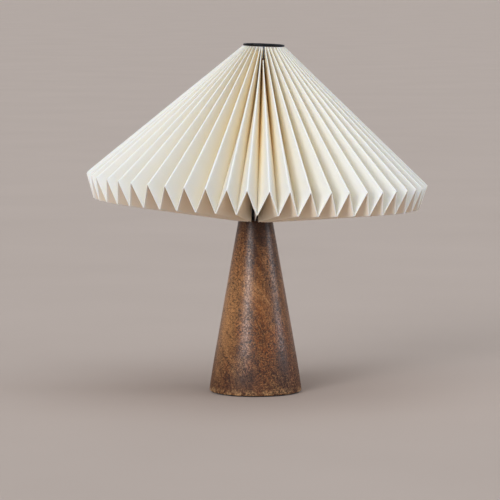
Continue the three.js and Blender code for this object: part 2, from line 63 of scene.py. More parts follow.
# ---------------------------------------------------------------- node helpers
class Tree:
    """A small helper over a material's node tree."""

    def __init__(self, name):
        self.mat = bpy.data.materials.new(name)
        self.mat.use_nodes = True
        self.nt = self.mat.node_tree
        self.nt.nodes.clear()
        self.out = self.nt.nodes.new("ShaderNodeOutputMaterial")
        self.bsdf = self.nt.nodes.new("ShaderNodeBsdfPrincipled")
        self.nt.links.new(self.bsdf.outputs[0], self.out.inputs["Surface"])

    def n(self, kind, **kw):
        node = self.nt.nodes.new(kind)
        for k, v in kw.items():
            setattr(node, k, v)
        return node

    def link(self, a, b):
        self.nt.links.new(a, b)

    def set(self, **kw):
        for k, v in kw.items():
            self.bsdf.inputs[k.replace("_", " ")].default_value = v

    def coords(self):
        return self.n("ShaderNodeTexCoord").outputs["Object"]

    def mapping(self, vec, scale=(1, 1, 1), rot=(0, 0, 0), loc=(0, 0, 0)):
        m = self.n("ShaderNodeMapping")
        m.inputs["Scale"].default_value = scale
        m.inputs["Rotation"].default_value = rot
        m.inputs["Location"].default_value = loc
        self.link(vec, m.inputs["Vector"])
        return m.outputs[0]

    def noise(self, vec, scale, detail=4.0, rough=0.5, distortion=0.0, out="Fac", lac=2.0):
        t = self.n("ShaderNodeTexNoise")
        t.inputs["Scale"].default_value = scale
        t.inputs["Detail"].default_value = detail
        t.inputs["Roughness"].default_value = rough
        t.inputs["Lacunarity"].default_value = lac
        t.inputs["Distortion"].default_value = distortion
        self.link(vec, t.inputs["Vector"])
        return t.outputs[out]

    def voronoi(self, vec, scale, feature="F1", rand=1.0):
        t = self.n("ShaderNodeTexVoronoi", feature=feature)
        t.inputs["Scale"].default_value = scale
        t.inputs["Randomness"].default_value = rand
        self.link(vec, t.inputs["Vector"])
        return t.outputs["Distance"]

    def ramp(self, fac, stops, interp="LINEAR"):
        r = self.n("ShaderNodeValToRGB")
        r.color_ramp.interpolation = interp
        els = r.color_ramp.elements
        while len(els) < len(stops):
            els.new(0.5)
        for e, (p, c) in zip(els, stops):
            e.position = p
            e.color = (*c, 1.0) if len(c) == 3 else c
        self.link(fac, r.inputs[0])
        return r.outputs[0]

    def rng(self, fac, a, b, c, d, clamp=True):
        r = self.n("ShaderNodeMapRange", clamp=clamp)
        for i, v in zip(("From Min", "From Max", "To Min", "To Max"), (a, b, c, d)):
            r.inputs[i].default_value = v
        self.link(fac, r.inputs["Value"])
        return r.outputs[0]

    def math(self, op, a, b=None, clamp=False):
        m = self.n("ShaderNodeMath", operation=op, use_clamp=clamp)
        for i, v in enumerate((a, b)):
            if v is None:
                continue
            if isinstance(v, (int, float)):
                m.inputs[i].default_value = v
            else:
                self.link(v, m.inputs[i])
        return m.outputs[0]

    def mix(self, fac, a, b, blend="MIX"):
        m = self.n("ShaderNodeMix", data_type="RGBA", blend_type=blend)
        for sock, v in ((m.inputs[0], fac), (m.inputs[6], a), (m.inputs[7], b)):
            if isinstance(v, (int, float)):
                sock.default_value = v
            elif isinstance(v, (tuple, list)):
                sock.default_value = (*v, 1.0) if len(v) == 3 else v
            else:
                self.link(v, sock)
        return m.outputs[2]

    def bump(self, height, strength=0.2, dist=0.001, normal=None):
        b = self.n("ShaderNodeBump")
        b.inputs["Strength"].default_value = strength
        b.inputs["Distance"].default_value = dist
        self.link(height, b.inputs["Height"])
        if normal is not None:
            self.link(normal, b.inputs["Normal"])
        return b.outputs[0]

    def dist(self, vec, p, squash=(1, 1, 1)):
        """Distance from a point, shortened along each axis by squash."""
        a = self.n("ShaderNodeVectorMath", operation="SUBTRACT")
        self.link(vec, a.inputs[0])
        a.inputs[1].default_value = p
        b = self.n("ShaderNodeVectorMath", operation="MULTIPLY")
        self.link(a.outputs[0], b.inputs[0])
        b.inputs[1].default_value = squash
        c = self.n("ShaderNodeVectorMath", operation="LENGTH")
        self.link(b.outputs[0], c.inputs[0])
        return c.outputs["Value"]

    def segment(self, v0, wobble, p0, p1):
        """Distance in the XZ plane from a stroke p0-p1, on the side towards -Y only."""
        s = self.n("ShaderNodeSeparateXYZ")
        self.link(v0, s.inputs[0])
        x, z = self.math("SUBTRACT", s.outputs[0], p0[0]), self.math("SUBTRACT", s.outputs[2], p0[1])
        dx, dz = p1[0] - p0[0], p1[1] - p0[1]
        ll = dx * dx + dz * dz
        u = self.math("ADD", self.math("MULTIPLY", x, dx / ll), self.math("MULTIPLY", z, dz / ll), clamp=True)
        ex = self.math("ADD", self.math("SUBTRACT", x, self.math("MULTIPLY", u, dx)), wobble)
        ez = self.math("SUBTRACT", z, self.math("MULTIPLY", u, dz))
        d = self.math("SQRT", self.math("ADD", self.math("MULTIPLY", ex, ex), self.math("MULTIPLY", ez, ez)))
        return self.math("ADD", d, self.math("MULTIPLY", self.math("GREATER_THAN", s.outputs[1], 0.0), 1.0))

    def attr(self, name):
        return self.n("ShaderNodeAttribute", attribute_name=name).outputs["Fac"]

    def to(self, socket, value):
        self.link(value, self.bsdf.inputs[socket])


def rgb(r, g, b):
    """sRGB 0-255 to linear."""
    def f(c):
        c /= 255.0
        return c / 12.92 if c <= 0.04045 else ((c + 0.055) / 1.055) ** 2.4
    return (f(r), f(g), f(b))


# ---------------------------------------------------------------- materials
def paper_material():
    t = Tree("shade_paper")
    co = t.coords()
    fold = t.attr("fold")
    fold_shade_paint = t.attr("fold_shade_paint")
    under = t.attr("under")
    fibre = t.noise(co, 420.0, 5.0, 0.65)
    cloud = t.noise(co, 9.0, 3.0, 0.5)
    long_fibres = t.noise(t.mapping(co, (1, 1, 0.35), (0.4, 0.2, 0.7)), 900.0, 3.0, 0.7, 0.8)
    base = t.mix(t.rng(cloud, 0.3, 0.7, 0.0, 1.0), rgb(229, 225, 217), rgb(233, 229, 222))
    base = t.mix(t.rng(fibre, 0.35, 0.65, 0.0, 0.16), base, rgb(238, 231, 216))
    base = t.mix(t.rng(long_fibres, 0.62, 0.75, 0.0, 0.22), base, rgb(253, 250, 243))
    # painted light: the underside is tinted a lighter, pinker tan to stand in for the bounced light and the light
    # through the paper that reach it
    base = t.mix(t.rng(under, 0.0, 1.0, 0.0, 1.0), base, rgb(250, 232, 212))
    # painted shade: the folds are tinted warmer and more golden the deeper they lie, standing in for the shade and the
    # glow through the paper inside them
    base = t.mix(t.rng(fold_shade_paint, 0.0, 0.5, 0.0, 1.0), base, rgb(252, 237, 208))
    base = t.mix(t.rng(fold_shade_paint, 0.5, 1.0, 0.0, 1.0), base, rgb(252, 212, 138))
    # paler crests and rim: partly the paper's own crease whitening, partly a painted highlight
    base = t.mix(t.rng(fold, 0.0, 1.0, 0.0, 0.8), base, rgb(240, 238, 233))
    t.to("Base Color", base)
    t.to("Roughness", t.rng(fibre, 0.3, 0.7, 0.72, 0.9))
    t.to("Normal", t.bump(t.math("ADD", fibre, t.math("MULTIPLY", long_fibres, 0.5)), 0.25, 0.0004))
    t.set(Subsurface_Weight=0.3, Subsurface_Scale=0.0010)
    t.bsdf.inputs["Subsurface Radius"].default_value = (1.0, 0.78, 0.46)
    t.bsdf.inputs["Specular IOR Level"].default_value = 0.2
    return t.mat


def wood_material():
    t = Tree("stained_wood")
    co = t.coords()
    # the grain runs down to the right and wavers
    warp = t.noise(co, 13.0, 2.0, 0.5, out="Color")
    bent = t.n("ShaderNodeVectorMath", operation="MULTIPLY_ADD")
    t.link(warp, bent.inputs[0])
    bent.inputs[1].default_value = (0.016, 0.016, 0.024)
    t.link(co, bent.inputs[2])
    v = bent.outputs[0]
    tilted = t.mapping(v, (1, 1, 1), (0.0, math.radians(30), 0.0))
    steep = t.mapping(v, (1, 1, 1), (0.0, math.radians(10), 0.0))
    band = t.noise(t.mapping(tilted, (1, 1, 0.13)), 95.0, 4.0, 0.55, 0.5)
    slow = t.noise(t.mapping(steep, (1, 1, 0.3)), 26.0, 2.0, 0.5, 0.4)
    streak = t.noise(t.mapping(steep, (1, 1, 0.1)), 210.0, 2.0, 0.55, 0.2)
    # pores: short crooked dark strokes with paler wood between them
    worm = t.noise(t.mapping(tilted, (0.95, 0.95, 0.80)), 400.0, 2.0, 0.35, 0.9)
    ridge = t.math("ABSOLUTE", t.math("SUBTRACT", worm, 0.5))
    speck = t.noise(t.mapping(steep, (0.85, 0.85, 1.1)), 560.0, 1.0, 0.5, 0.8)
    # fine fibres and pores that only show close up
    fibres = t.noise(t.mapping(steep, (1, 1, 0.035)), 1500.0, 3.0, 0.6)
    pores = t.noise(t.mapping(steep, (1, 1, 0.16)), 1050.0, 1.0, 0.5, 0.2)
    base = t.ramp(
        band,
        [
            (0.36, rgb(74, 38, 17)),
            (0.46, rgb(122, 73, 37)),
            (0.54, rgb(155, 100, 56)),
            (0.70, rgb(194, 139, 88)),
        ],
    )
    base = t.mix(t.rng(slow, 0.50, 0.64, 0.0, 0.75), base, rgb(152, 82, 34))
    base = t.mix(t.rng(slow, 0.47, 0.36, 0.0, 0.6), base, rgb(128, 80, 42))
    base = t.mix(t.rng(streak, 0.42, 0.62, 0.0, 0.5), base, rgb(114, 63, 28))
    # darker patches: those at the neck, between the front and right faces, are partly the wood's own darker tone and
    # partly a painted shadow of the lampshade; those low down are the wood's own dark stains
    stains = [
        ((0.001, -0.024, 0.202), (1.0, 1.0, 0.22), 0.003, 0.014, 0.85),
        ((0.014, -0.016, 0.206), (1.0, 1.0, 0.7), 0.004, 0.013, 0.8),
        ((0.022, -0.018, 0.150), (1.0, 1.0, 0.3), 0.004, 0.011, 0.4),
        ((-0.017, -0.050, 0.015), (1.0, 1.0, 0.75), 0.001, 0.011, 0.85),
        ((-0.004, -0.052, 0.022), (1.0, 1.0, 0.45), 0.000, 0.010, 0.8),
        ((0.033, -0.038, 0.036), (1.0, 1.0, 0.4), 0.002, 0.014, 0.8),
        ((-0.032, -0.042, 0.020), (1.0, 1.0, 0.8), 0.000, 0.008, 0.6),
    ]
    wob = t.noise(t.mapping(tilted, (1, 1, 0.4)), 110.0, 3.0, 0.6)
    wob = t.rng(wob, 0.3, 0.7, -0.006, 0.006, clamp=False)
    shade = None
    for p, squash, r0, r1, amount in stains:
        d = t.dist(co, p, squash)
        d = t.math("ADD", d, wob)
        m = t.rng(d, r0, r1, amount, 0.0)
        shade = m if shade is None else t.math("MAXIMUM", shade, m)
    # the patches near the neck are partly a painted shadow of the lampshade
    base = t.mix(shade, base, rgb(50, 20, 9))
    z = t.n_sep_z(co)
    # darker towards the foot; close under the lampshade, a painted shadow of the lampshade
    low = t.rng(z, 0.008, 0.105, 0.64, 0.0)
    lampshade_shadow_paint = t.rng(z, 0.155, 0.206, 0.0, 0.74)
    base = t.mix(t.math("MAXIMUM", low, lampshade_shadow_paint), base, rgb(64, 30, 10))
    # a paler stretch down the left of the front
    pale = t.math("ADD", t.dist(co, (-0.033, -0.018, 0.105), (1.0, 1.0, 0.26)), t.math("MULTIPLY", wob, 0.7))
    base = t.mix(t.rng(pale, 0.008, 0.030, 0.60, 0.0), base, rgb(208, 150, 94))
    edge = t.rng(z, 0.0015, 0.0095, 0.85, 0.0)
    worn = t.math("MULTIPLY", edge, t.rng(t.noise(co, 150.0, 3.0, 0.6), 0.42, 0.60, 0.0, 1.0))
    base = t.mix(worn, base, rgb(212, 164, 112))
    # the pores crowd together in some parts and are faint in others
    crowd = t.noise(t.mapping(steep, (1, 1, 0.35)), 34.0, 2.0, 0.5, 0.4)
    crowd = t.rng(crowd, 0.38, 0.58, 0.60, 1.0)
    lines = t.rng(ridge, 0.022, 0.066, 0.95, 0.0)
    specks = t.rng(speck, 0.36, 0.45, 0.8, 0.0)
    dots = t.math("MULTIPLY", t.math("MAXIMUM", lines, specks), crowd)
    dots = t.math("MULTIPLY", dots, t.rng(fibres, 0.36, 0.58, 1.35, 0.95, clamp=False))
    dots = t.math("MAXIMUM", t.math("MINIMUM", dots, 0.95), t.rng(pores, 0.27, 0.35, 0.85, 0.0))
    base = t.mix(dots, base, rgb(36, 16, 7))
    # pale fibres of the grain, held back in the stains and the painted shadow
    pale_fibre_tint = t.math("MULTIPLY", t.rng(fibres, 0.46, 0.66, 0.0, 0.20), t.rng(t.math("MAXIMUM", shade, t.math("MAXIMUM", low, lampshade_shadow_paint)), 0.0, 0.5, 1.0, 0.15))
    base = t.mix(pale_fibre_tint, base, rgb(196, 140, 86))
    # pale flecks between the strokes
    fleck = t.math("MULTIPLY", t.rng(speck, 0.56, 0.66, 0.0, 0.26), t.rng(shade, 0.0, 0.5, 1.0, 0.3))
    base = t.mix(fleck, base, rgb(212, 156, 98))
    # hairline cracks along the grain, each from one point to another
    cracks = [
        ((-0.0245, 0.1450), (-0.0125, 0.1315), 0.0006),
        ((-0.0255, 0.1640), (-0.0135, 0.1500), 0.0004),
        ((-0.0030, 0.1020), (0.0125, 0.0640), 0.0006),
        ((-0.0345, 0.0750), (-0.0225, 0.0610), 0.0006),
        ((-0.0390, 0.0480), (-0.0215, 0.0270), 0.0008),
        ((0.0200, 0.0700), (0.0300, 0.0330), 0.0005),
    ]
    hair = None
    for p0, p1, w in cracks:
        d = t.segment(v0=co, wobble=t.math("MULTIPLY", wob, 0.42), p0=p0, p1=p1)
        m = t.rng(d, w * 0.5, w * 2.0, 0.62, 0.0)
        hair = m if hair is None else t.math("MAXIMUM", hair, m)
    base = t.mix(hair, base, rgb(44, 23, 13))
    t.to("Base Color", base)
    dull = t.rng(z, 0.006, 0.060, 0.36, 0.0)
    rough = t.math("ADD", t.rng(dots, 0.0, 0.9, 0.28, 0.44), dull)
    t.to("Roughness", rough)
    t.to("Normal", t.bump(t.math("MULTIPLY", t.math("MAXIMUM", dots, hair), -1.0), 0.16, 0.0003))
    t.bsdf.inputs["Specular IOR Level"].default_value = 0.40
    return t.mat


def _sep_z(self, co):
    s = self.n("ShaderNodeSeparateXYZ")
    self.link(co, s.inputs[0])
    return s.outputs[2]


Tree.n_sep_z = _sep_z


def black_gloss():
    t = Tree("black_enamel")
    co = t.coords()
    a = t.noise(co, 160.0, 3.0, 0.6)
    b = t.noise(co, 900.0, 2.0, 0.5)
    t.to("Base Color", t.mix(t.rng(a, 0.35, 0.65, 0.0, 1.0), (0.003, 0.003, 0.004), (0.007, 0.007, 0.009)))
    t.to("Roughness", t.rng(a, 0.3, 0.7, 0.24, 0.36))
    t.to("Normal", t.bump(b, 0.08, 0.0002))
    t.bsdf.inputs["Specular IOR Level"].default_value = 0.12
    return t.mat


def wire_enamel():
    t = Tree("upright_enamel")
    co = t.coords()
    a = t.noise(co, 300.0, 3.0, 0.6)
    t.to("Base Color", t.mix(t.rng(a, 0.35, 0.65, 0.0, 1.0), (0.045, 0.047, 0.058), (0.075, 0.078, 0.092)))
    t.to("Roughness", t.rng(a, 0.3, 0.7, 0.3, 0.42))
    t.to("Normal", t.bump(a, 0.08, 0.0002))
    t.bsdf.inputs["Specular IOR Level"].default_value = 0.7
    return t.mat


def thread_material():
    t = Tree("brown_thread")
    co = t.coords()
    a = t.noise(t.mapping(co, (1, 1, 4)), 1500.0, 3.0, 0.6)
    t.to("Base Color", t.mix(t.rng(a, 0.35, 0.65, 0.0, 1.0), rgb(96, 66, 44), rgb(146, 108, 76)))
    t.to("Roughness", t.rng(a, 0.3, 0.7, 0.75, 0.95))
    t.to("Normal", t.bump(a, 0.5, 0.0003))
    return t.mat


def black_plastic():
    t = Tree("black_moulded")
    co = t.coords()
    a = t.noise(co, 700.0, 3.0, 0.6)
    b = t.noise(co, 40.0, 2.0, 0.5)
    t.to("Base Color", t.mix(t.rng(b, 0.35, 0.65, 0.0, 1.0), (0.011, 0.011, 0.012), (0.019, 0.019, 0.02)))
    t.to("Roughness", t.rng(a, 0.3, 0.7, 0.32, 0.48))
    t.to("Normal", t.bump(a, 0.15, 0.0002))
    return t.mat


def simple(name, c1, c2, rough, metallic=0.0, scale=200.0, bump=0.1, stretch=(1, 1, 1)):
    t = Tree(name)
    co = t.mapping(t.coords(), stretch)
    a = t.noise(co, scale, 4.0, 0.6)
    b = t.noise(co, scale * 0.17, 3.0, 0.5)
    t.to("Base Color", t.mix(t.rng(b, 0.3, 0.7, 0.0, 1.0), c1, c2))
    t.to("Roughness", t.rng(a, 0.3, 0.7, rough[0], rough[1]))
    t.to("Normal", t.bump(a, bump, 0.0002))
    t.set(Metallic=metallic)
    return t.mat


def felt_material():
    t = Tree("black_felt")
    co = t.coords()
    a = t.noise(co, 1200.0, 5.0, 0.75)
    b = t.noise(co, 90.0, 3.0, 0.6)
    t.to("Base Color", t.mix(t.rng(a, 0.3, 0.7, 0.0, 1.0), (0.008, 0.008, 0.008), (0.035, 0.032, 0.03)))
    t.to("Roughness", t.rng(b, 0.3, 0.7, 0.88, 1.0))
    t.to("Normal", t.bump(a, 0.8, 0.0006))
    t.set(Sheen_Weight=0.3)
    return t.mat


def frosted_glass():
    t = Tree("frosted_glass")
    co = t.coords()
    a = t.noise(co, 500.0, 3.0, 0.6)
    t.to("Base Color", t.mix(t.rng(a, 0.3, 0.7, 0.0, 1.0), rgb(246, 243, 234), rgb(238, 236, 228)))
    t.to("Roughness", t.rng(a, 0.3, 0.7, 0.28, 0.42))
    t.set(Transmission_Weight=0.22, IOR=1.5)
    t.to("Normal", t.bump(a, 0.1, 0.0002))
    return t.mat


def clear_glass():
    t = Tree("stem_glass")
    co = t.coords()
    a = t.noise(co, 200.0, 2.0, 0.5)
    t.to("Base Color", t.mix(t.rng(a, 0.3, 0.7, 0.0, 1.0), (0.9, 0.93, 0.91), (0.95, 0.97, 0.96)))
    t.to("Roughness", t.rng(a, 0.3, 0.7, 0.02, 0.08))
    t.set(Transmission_Weight=0.9, IOR=1.5)
    return t.mat


PAPER = paper_material()
WOOD = wood_material()
ENAMEL = black_gloss()
WIRE = wire_enamel()
THREAD = thread_material()
PLASTIC = black_plastic()
FELT = felt_material()
STEEL = simple("zinc_steel", (0.55, 0.55, 0.53), (0.68, 0.67, 0.62), (0.28, 0.45), 1.0, 500.0, 0.1)
BRASS_DULL = simple("dull_brass", (0.52, 0.43, 0.24), (0.64, 0.55, 0.33), (0.3, 0.5), 1.0, 500.0, 0.1)
BRASS = simple("contact_brass", (0.72, 0.56, 0.26), (0.8, 0.64, 0.34), (0.2, 0.36), 1.0, 500.0, 0.08)
CERAMIC = simple("holder_ceramic", (0.78, 0.75, 0.69), (0.86, 0.84, 0.79), (0.45, 0.65), 0.0, 900.0, 0.2)
IVORY = simple("ivory_moulded", (0.66, 0.62, 0.53), (0.74, 0.7, 0.61), (0.4, 0.55), 0.0, 700.0, 0.12)
CAP = simple("cap_aluminium", (0.68, 0.67, 0.65), (0.78, 0.77, 0.74), (0.22, 0.4), 1.0, 350.0, 0.1, (1, 1, 4))
VITRITE = simple("black_vitrite", (0.01, 0.01, 0.016), (0.025, 0.025, 0.035), (0.12, 0.25), 0.0, 200.0, 0.1)
PHOSPHOR = simple("phosphor", (0.8, 0.55, 0.12), (0.88, 0.66, 0.2), (0.5, 0.65), 0.0, 900.0, 0.2)
GLASS = frosted_glass()
STEM = clear_glass()


# ---------------------------------------------------------------- mesh helpers
def make(name, verts, faces, mat, sharp=None, smooth=True, attr=None):
    """verts in mm; faces as index lists."""
    me = bpy.data.meshes.new(name)
    me.from_pydata([tuple(v) for v in (np.asarray(verts, float) * MM)], [], faces)
    me.validate(clean_customdata=False)
    # outward faces
    co = np.array([v.co for v in me.vertices])
    me.calc_loop_triangles()
    tri = np.array([t.vertices for t in me.loop_triangles])
    vol = np.einsum("ij,ij->i", co[tri[:, 0]], np.cross(co[tri[:, 1]], co[tri[:, 2]])).sum()
    if vol < 0:
        me.flip_normals()
    me.materials.append(mat)
    if attr is not None:
        for key, vals in attr.items():
            a = me.attributes.new(key, "FLOAT", "POINT")
            a.data.foreach_set("value", np.asarray(vals, np.float32))
    if smooth:
        me.polygons.foreach_set("use_smooth", [True] * len(me.polygons))
        if sharp is not None:
            me.set_sharp_from_angle(angle=math.radians(sharp))
    me.update()
    o = bpy.data.objects.new(name, me)
    bpy.context.scene.collection.objects.link(o)
    return o


def lathe(name, profile, mat, segs=96, sharp=35, closed=True, jitter=None):
    """Turned mesh from (radius, height) pairs; poles where the radius is 0."""
    verts, rings = [], []
    for k, (r, z) in enumerate(profile):
        if r < 1e-6:
            rings.append([len(verts)])
            verts.append((0, 0, z))
        else:
            ids = []
            for i in range(segs):
                a = 2 * math.pi * i / segs
                rr, zz = (r, z) if jitter is None else jitter(r, z, a)
                ids.append(len(verts))
                verts.append((rr * math.cos(a), rr * math.sin(a), zz))
            rings.append(ids)
    faces = []
    pairs = list(zip(rings, rings[1:]))
    if closed and not (profile[0][0] < 1e-6 and profile[-1][0] < 1e-6):
        pairs.append((rings[-1], rings[0]))
    for A, B in pairs:
        for i in range(segs):
            j = (i + 1) % segs
            if len(A) == 1 and len(B) == 1:
                continue
            if len(A) == 1:
                faces.append((A[0], B[i], B[j]))
            elif len(B) == 1:
                faces.append((A[i], A[j], B[0]))
            else:
                faces.append((A[i], A[j], B[j], B[i]))
    return make(name, verts, faces, mat, sharp)


def rounded(profile, radius, steps=4, closed=True):
    """Rounds the corners of a (radius, height) outline."""
    out = []
    n = len(profile)
    P = [np.array(p, float) for p in profile]
    for i in range(n):
        if not closed and i in (0, n - 1) or P[i][0] < 1e-6:
            out.append(tuple(P[i]))
            continue
        a, b, c = P[i - 1], P[i], P[(i + 1) % n]
        da, dc = a - b, c - b
        la, lc = np.linalg.norm(da), np.linalg.norm(dc)
        r = min(radius, la * 0.45, lc * 0.45)
        p0, p1 = b + da / la * r, b + dc / lc * r
        for k in range(steps + 1):
            u = k / steps
            out.append(tuple((1 - u) ** 2 * p0 + 2 * u * (1 - u) * b + u * u * p1))
    return out


def tube(name, pts, radius, mat, sides=16, closed=False, cap=True):
    """Tube along points in mm, with parallel-carried frames."""
    P = np.array(pts, float)
    n = len(P)
    T = np.zeros_like(P)
    for i in range(n):
        a = P[(i - 1) % n] if closed or i > 0 else P[i]
        b = P[(i + 1) % n] if closed or i < n - 1 else P[i]
        T[i] = (b - a) / max(np.linalg.norm(b - a), 1e-9)
    ref = np.array([0, 0, 1.0]) if abs(T[0][2]) < 0.9 else np.array([1.0, 0, 0])
    N = np.cross(T[0], ref)
    N /= np.linalg.norm(N)
    verts, faces = [], []
    for i in range(n):
        N = N - T[i] * N.dot(T[i])
        N /= np.linalg.norm(N)
        B = np.cross(T[i], N)
        for k in range(sides):
            a = 2 * math.pi * k / sides
            verts.append(P[i] + radius * (math.cos(a) * N + math.sin(a) * B))
    rows = n if closed else n - 1
    for i in range(rows):
        for k in range(sides):
            i2, k2 = (i + 1) % n, (k + 1) % sides
            faces.append((i * sides + k, i * sides + k2, i2 * sides + k2, i2 * sides + k))
    if not closed and cap:
        faces.append(tuple(range(sides))[::-1])
        faces.append(tuple((n - 1) * sides + k for k in range(sides)))
    return make(name, verts, faces, mat, 50)


def lean(o):
    o.data.transform(LEAN_M)
    o.data.update()
    return o


# ---------------------------------------------------------------- pleated paper
PAPER_T = 0.32
FOLD_GAP = 0.05


def lerp(a, b, u):
    return (a[0] + (b[0] - a[0]) * u, a[1] + (b[1] - a[1]) * u)


def unit(x, y):
    d = math.hypot(x, y)
    return np.array((x / d, y / d))


def curve(x, pts):
    """Straight-line table."""
    return float(np.interp(x, [p[0] for p in pts], [p[1] for p in pts]))


UP = unit(M_TOP[1] - M_RIM[1], M_RIM[0] - M_TOP[0])
UNDER = unit(V_RIM[1] - V_IN[1], -(V_RIM[0] - V_IN[0]))
CREASE = unit(M_RIM[1] - V_RIM[1], -(M_RIM[0] - V_RIM[0]))

# How far a fold's upper end lies from its even place, in mm at the top opening,
# against its number from the seam, to the right as seen from outside.
TOP_DRIFT = [
    (-27, 0.0), (-25, -0.6), (-23, -1.7), (-21, -2.8), (-19, -3.7), (-17, -4.4), (-15, -4.8), (-13, -4.8),
    (-11, -4.2), (-9, -3.2), (-7, -2.6), (-5, -1.3), (-3, 0.0), (-1, -1.1), (1, -3.4), (3, -3.4), (5, -3.1),
    (7, -2.8), (9, -0.6), (11, 0.2), (15, 0.0), (27, 0.0),
]


def paper_half(side, seed):
    """One strip: folds 0..PLEATS, even ones valleys, from the front seam to the back one."""
    rnd = np.random.default_rng(seed)
    n = PLEATS
    t, g, h = PAPER_T, FOLD_GAP, PAPER_T / 2
    # small unevenness of the real folding, the same along a whole fold
    d_theta = rnd.normal(0, 0.0028, n + 1)
    d_theta[[0, n]] = 0
    d_r = rnd.normal(0, 0.3, n + 1)
    if side < 0:
        # the left end of the rim is a little flattened
        J = np.arange(n + 1)
        d_r -= 2.0 * np.exp(-(((J - 26) / 4.0) ** 2))
        d_theta += 0.018 * np.exp(-(((J - 19.5) / 3.2) ** 2))
    belly = rnd.uniform(0.3, 1.0, n)
    wave = rnd.normal(0, 0.2, n)
    crest = 0.85  # half width of the rounded mountain crest
    Q = [0.0, 0.03, 0.075, 0.14, 0.23, 0.36, 0.52, 0.7, 0.86, 1.0]
    C = [-0.62, 0.0, 0.62]  # across a crest

    def bulge(q, p, u):
        soft = 2.3 * (q ** 0.75) * (1 - q) ** 2.6  # turned outwards next to the mountain
        return (soft * 0.85 + belly[p] * 0.45 * math.sin(math.pi * q)) * min(1.0, 0.25 + 1.6 * u)

    US = [0, 0.025, 0.055, 0.09, 0.13, 0.18, 0.25, 0.33, 0.42, 0.52, 0.62, 0.72, 0.81, 0.89, 0.95, 0.982, 1.0]
    LS = [0, 0.02, 0.05, 0.12, 0.22, 0.35, 0.5, 0.65, 0.8, 0.92, 1.0]

    def seam_index(j):
        """Fold number counted from the nearer seam, to the right of it as seen from outside."""
        return side * j if j <= n // 2 else -side * (n - j)

    def stations(outer):
        rows = []
        for u in US:
            last = u == 1.0
            c = crest * min(1.0, 0.4 + 1.5 * u) if not last else crest
            if outer:
                om, ov = c, g
                d = UP * h
                if last:
                    d = CREASE * h + UP * h
                    om = g + 2 * t
            else:
                om, ov = max(g, c - t), g + t
                d = -UP * h
                if last:
                    om, d = g + t, -CREASE * h
            rows.append(dict(om=om, ov=ov, d=d, u=u, up=True, lift=1.0 if outer else 0.0, rim=last))
        for w in LS if outer else LS[1:]:
            if outer:
                om, ov = g, crest if w > 0 else g + 2 * t
                d = UNDER * h if w > 0 else CREASE * h + UNDER * h
            else:
                om, ov = g + t, max(g, crest - t)
                d = -UNDER * h
            rows.append(dict(om=om, ov=ov, d=d, u=1.0, w=w, up=False, lift=1.0 if outer else 0.0, rim=w == 0))
        return rows

    verts, fold_attr, fold_shade_paint_attr, under_attr = [], [], [], []

    def fold_at(j, s):
        valley = j % 2 == 0
        js = seam_index(j)
        at_seam = j in (0, n)
        # azimuth at the rim, to the right of the front seam
        a1 = TURN + side * (math.pi * j / n + d_theta[j])
        if s["up"]:
            top, rim = (V_TOP, V_RIM) if valley else (M_TOP, M_RIM)
            u = s["u"]
            if js == 1:
                u = 0.095 + 0.905 * u  # trimmed at the top, clear of the upright
            drift = curve(js, TOP_DRIFT)
            if at_seam:
                left = side < 0 if j == 0 else side > 0
                drift = (-7.0 if left else -4.6)
                closed = -5.0
                k = min(1.0, u / 0.12)
                drift = drift + (closed - drift) * k
            a0 = TURN + side * math.pi * j / n + drift / 25.0
            x = (1 - u) * top[0] * math.sin(a0) + u * (rim[0] + d_r[j]) * math.sin(a1)
            y = (1 - u) * top[0] * math.cos(a0) + u * (rim[0] + d_r[j]) * math.cos(a1)
            r, a = math.hypot(x, y), math.atan2(x, y)
            z = top[1] + (rim[1] - top[1]) * u
            shift = TOP_SHIFT * (1 - u)
            if valley:
                # the folds stand a little open along their middle, more so next to the seam
                k = 2.8 + 1.8 * math.exp(-(((0 if at_seam else abs(js)) / 3.5) ** 2))
                k *= math.sin(math.pi * min(1.0, u / 0.94)) ** 0.7
                r, z = r + UP[0] * k, z + UP[1] * k
        else:
            w = s["w"]
            rim, inn = (V_RIM, V_IN) if valley else (M_RIM, M_IN)
            r = rim[0] + d_r[j] + (inn[0] - rim[0] - d_r[j]) * w
            z = rim[1] + (inn[1] - rim[1]) * w
            a = TURN + side * (math.pi * j / n + d_theta[j] * (1 - w))
            # the strips' ends part from the ridge between them under the shade
            pitch = math.pi / n * r
            near = math.exp(-abs(js) / 5.0) if not at_seam else 1.0
            to_left = side < 0 if j <= n // 2 else side > 0
            open_mm = (-1.9 if to_left else 1.3) * w * near
            if at_seam:
                k = min(1.0, w / 0.03)
                side_open = 3.2 if to_left else 2.3
                first = pitch + abs(open_mm) - 0.35
                open_mm = (-1 if to_left else 1) * min(side_open, first) * k
                # the end lies on its own panel, so it rises as it draws back
                rise = abs(open_mm) / max(pitch + abs(open_mm) * 0.0, 1e-6)
                z += (lerp(M_RIM, M_IN, w)[1] - lerp(V_RIM, V_IN, w)[1]) * min(0.95, rise)
                r += (lerp(M_RIM, M_IN, w)[0] - lerp(V_RIM, V_IN, w)[0]) * min(0.95, rise)
            a += open_mm / r
            shift = 0.0
        r, z = r + s["d"][0], z + s["d"][1]
        return r, z, a, (s["ov"] if valley else s["om"]), shift

    def point(f, w):
        r, z, a, o, shift = f
        w *= side
        return np.array((r * math.sin(a) + w * math.cos(a) + shift, -r * math.cos(a) + w * math.sin(a), z))

    def fold_white(peak, s):
        """How much of the paler crest shows, partly crease whitening and partly a painted highlight: the whole crest
        outside, only the rim underneath.
        """
        if s["rim"]:
            return 1.0
        if not peak:
            return 0.0
        return 1.0 if s["up"] else max(0.0, 1 - s["w"] / 0.12)

    def row(s):
        ids = []
        k_from_seam = 0

        def put(p, f, c):
            ids.append(len(verts))
            verts.append((p[0], p[1], p[2]))
            fold_attr.append(f)
            if s["up"]:
                d = 1 - s["u"]
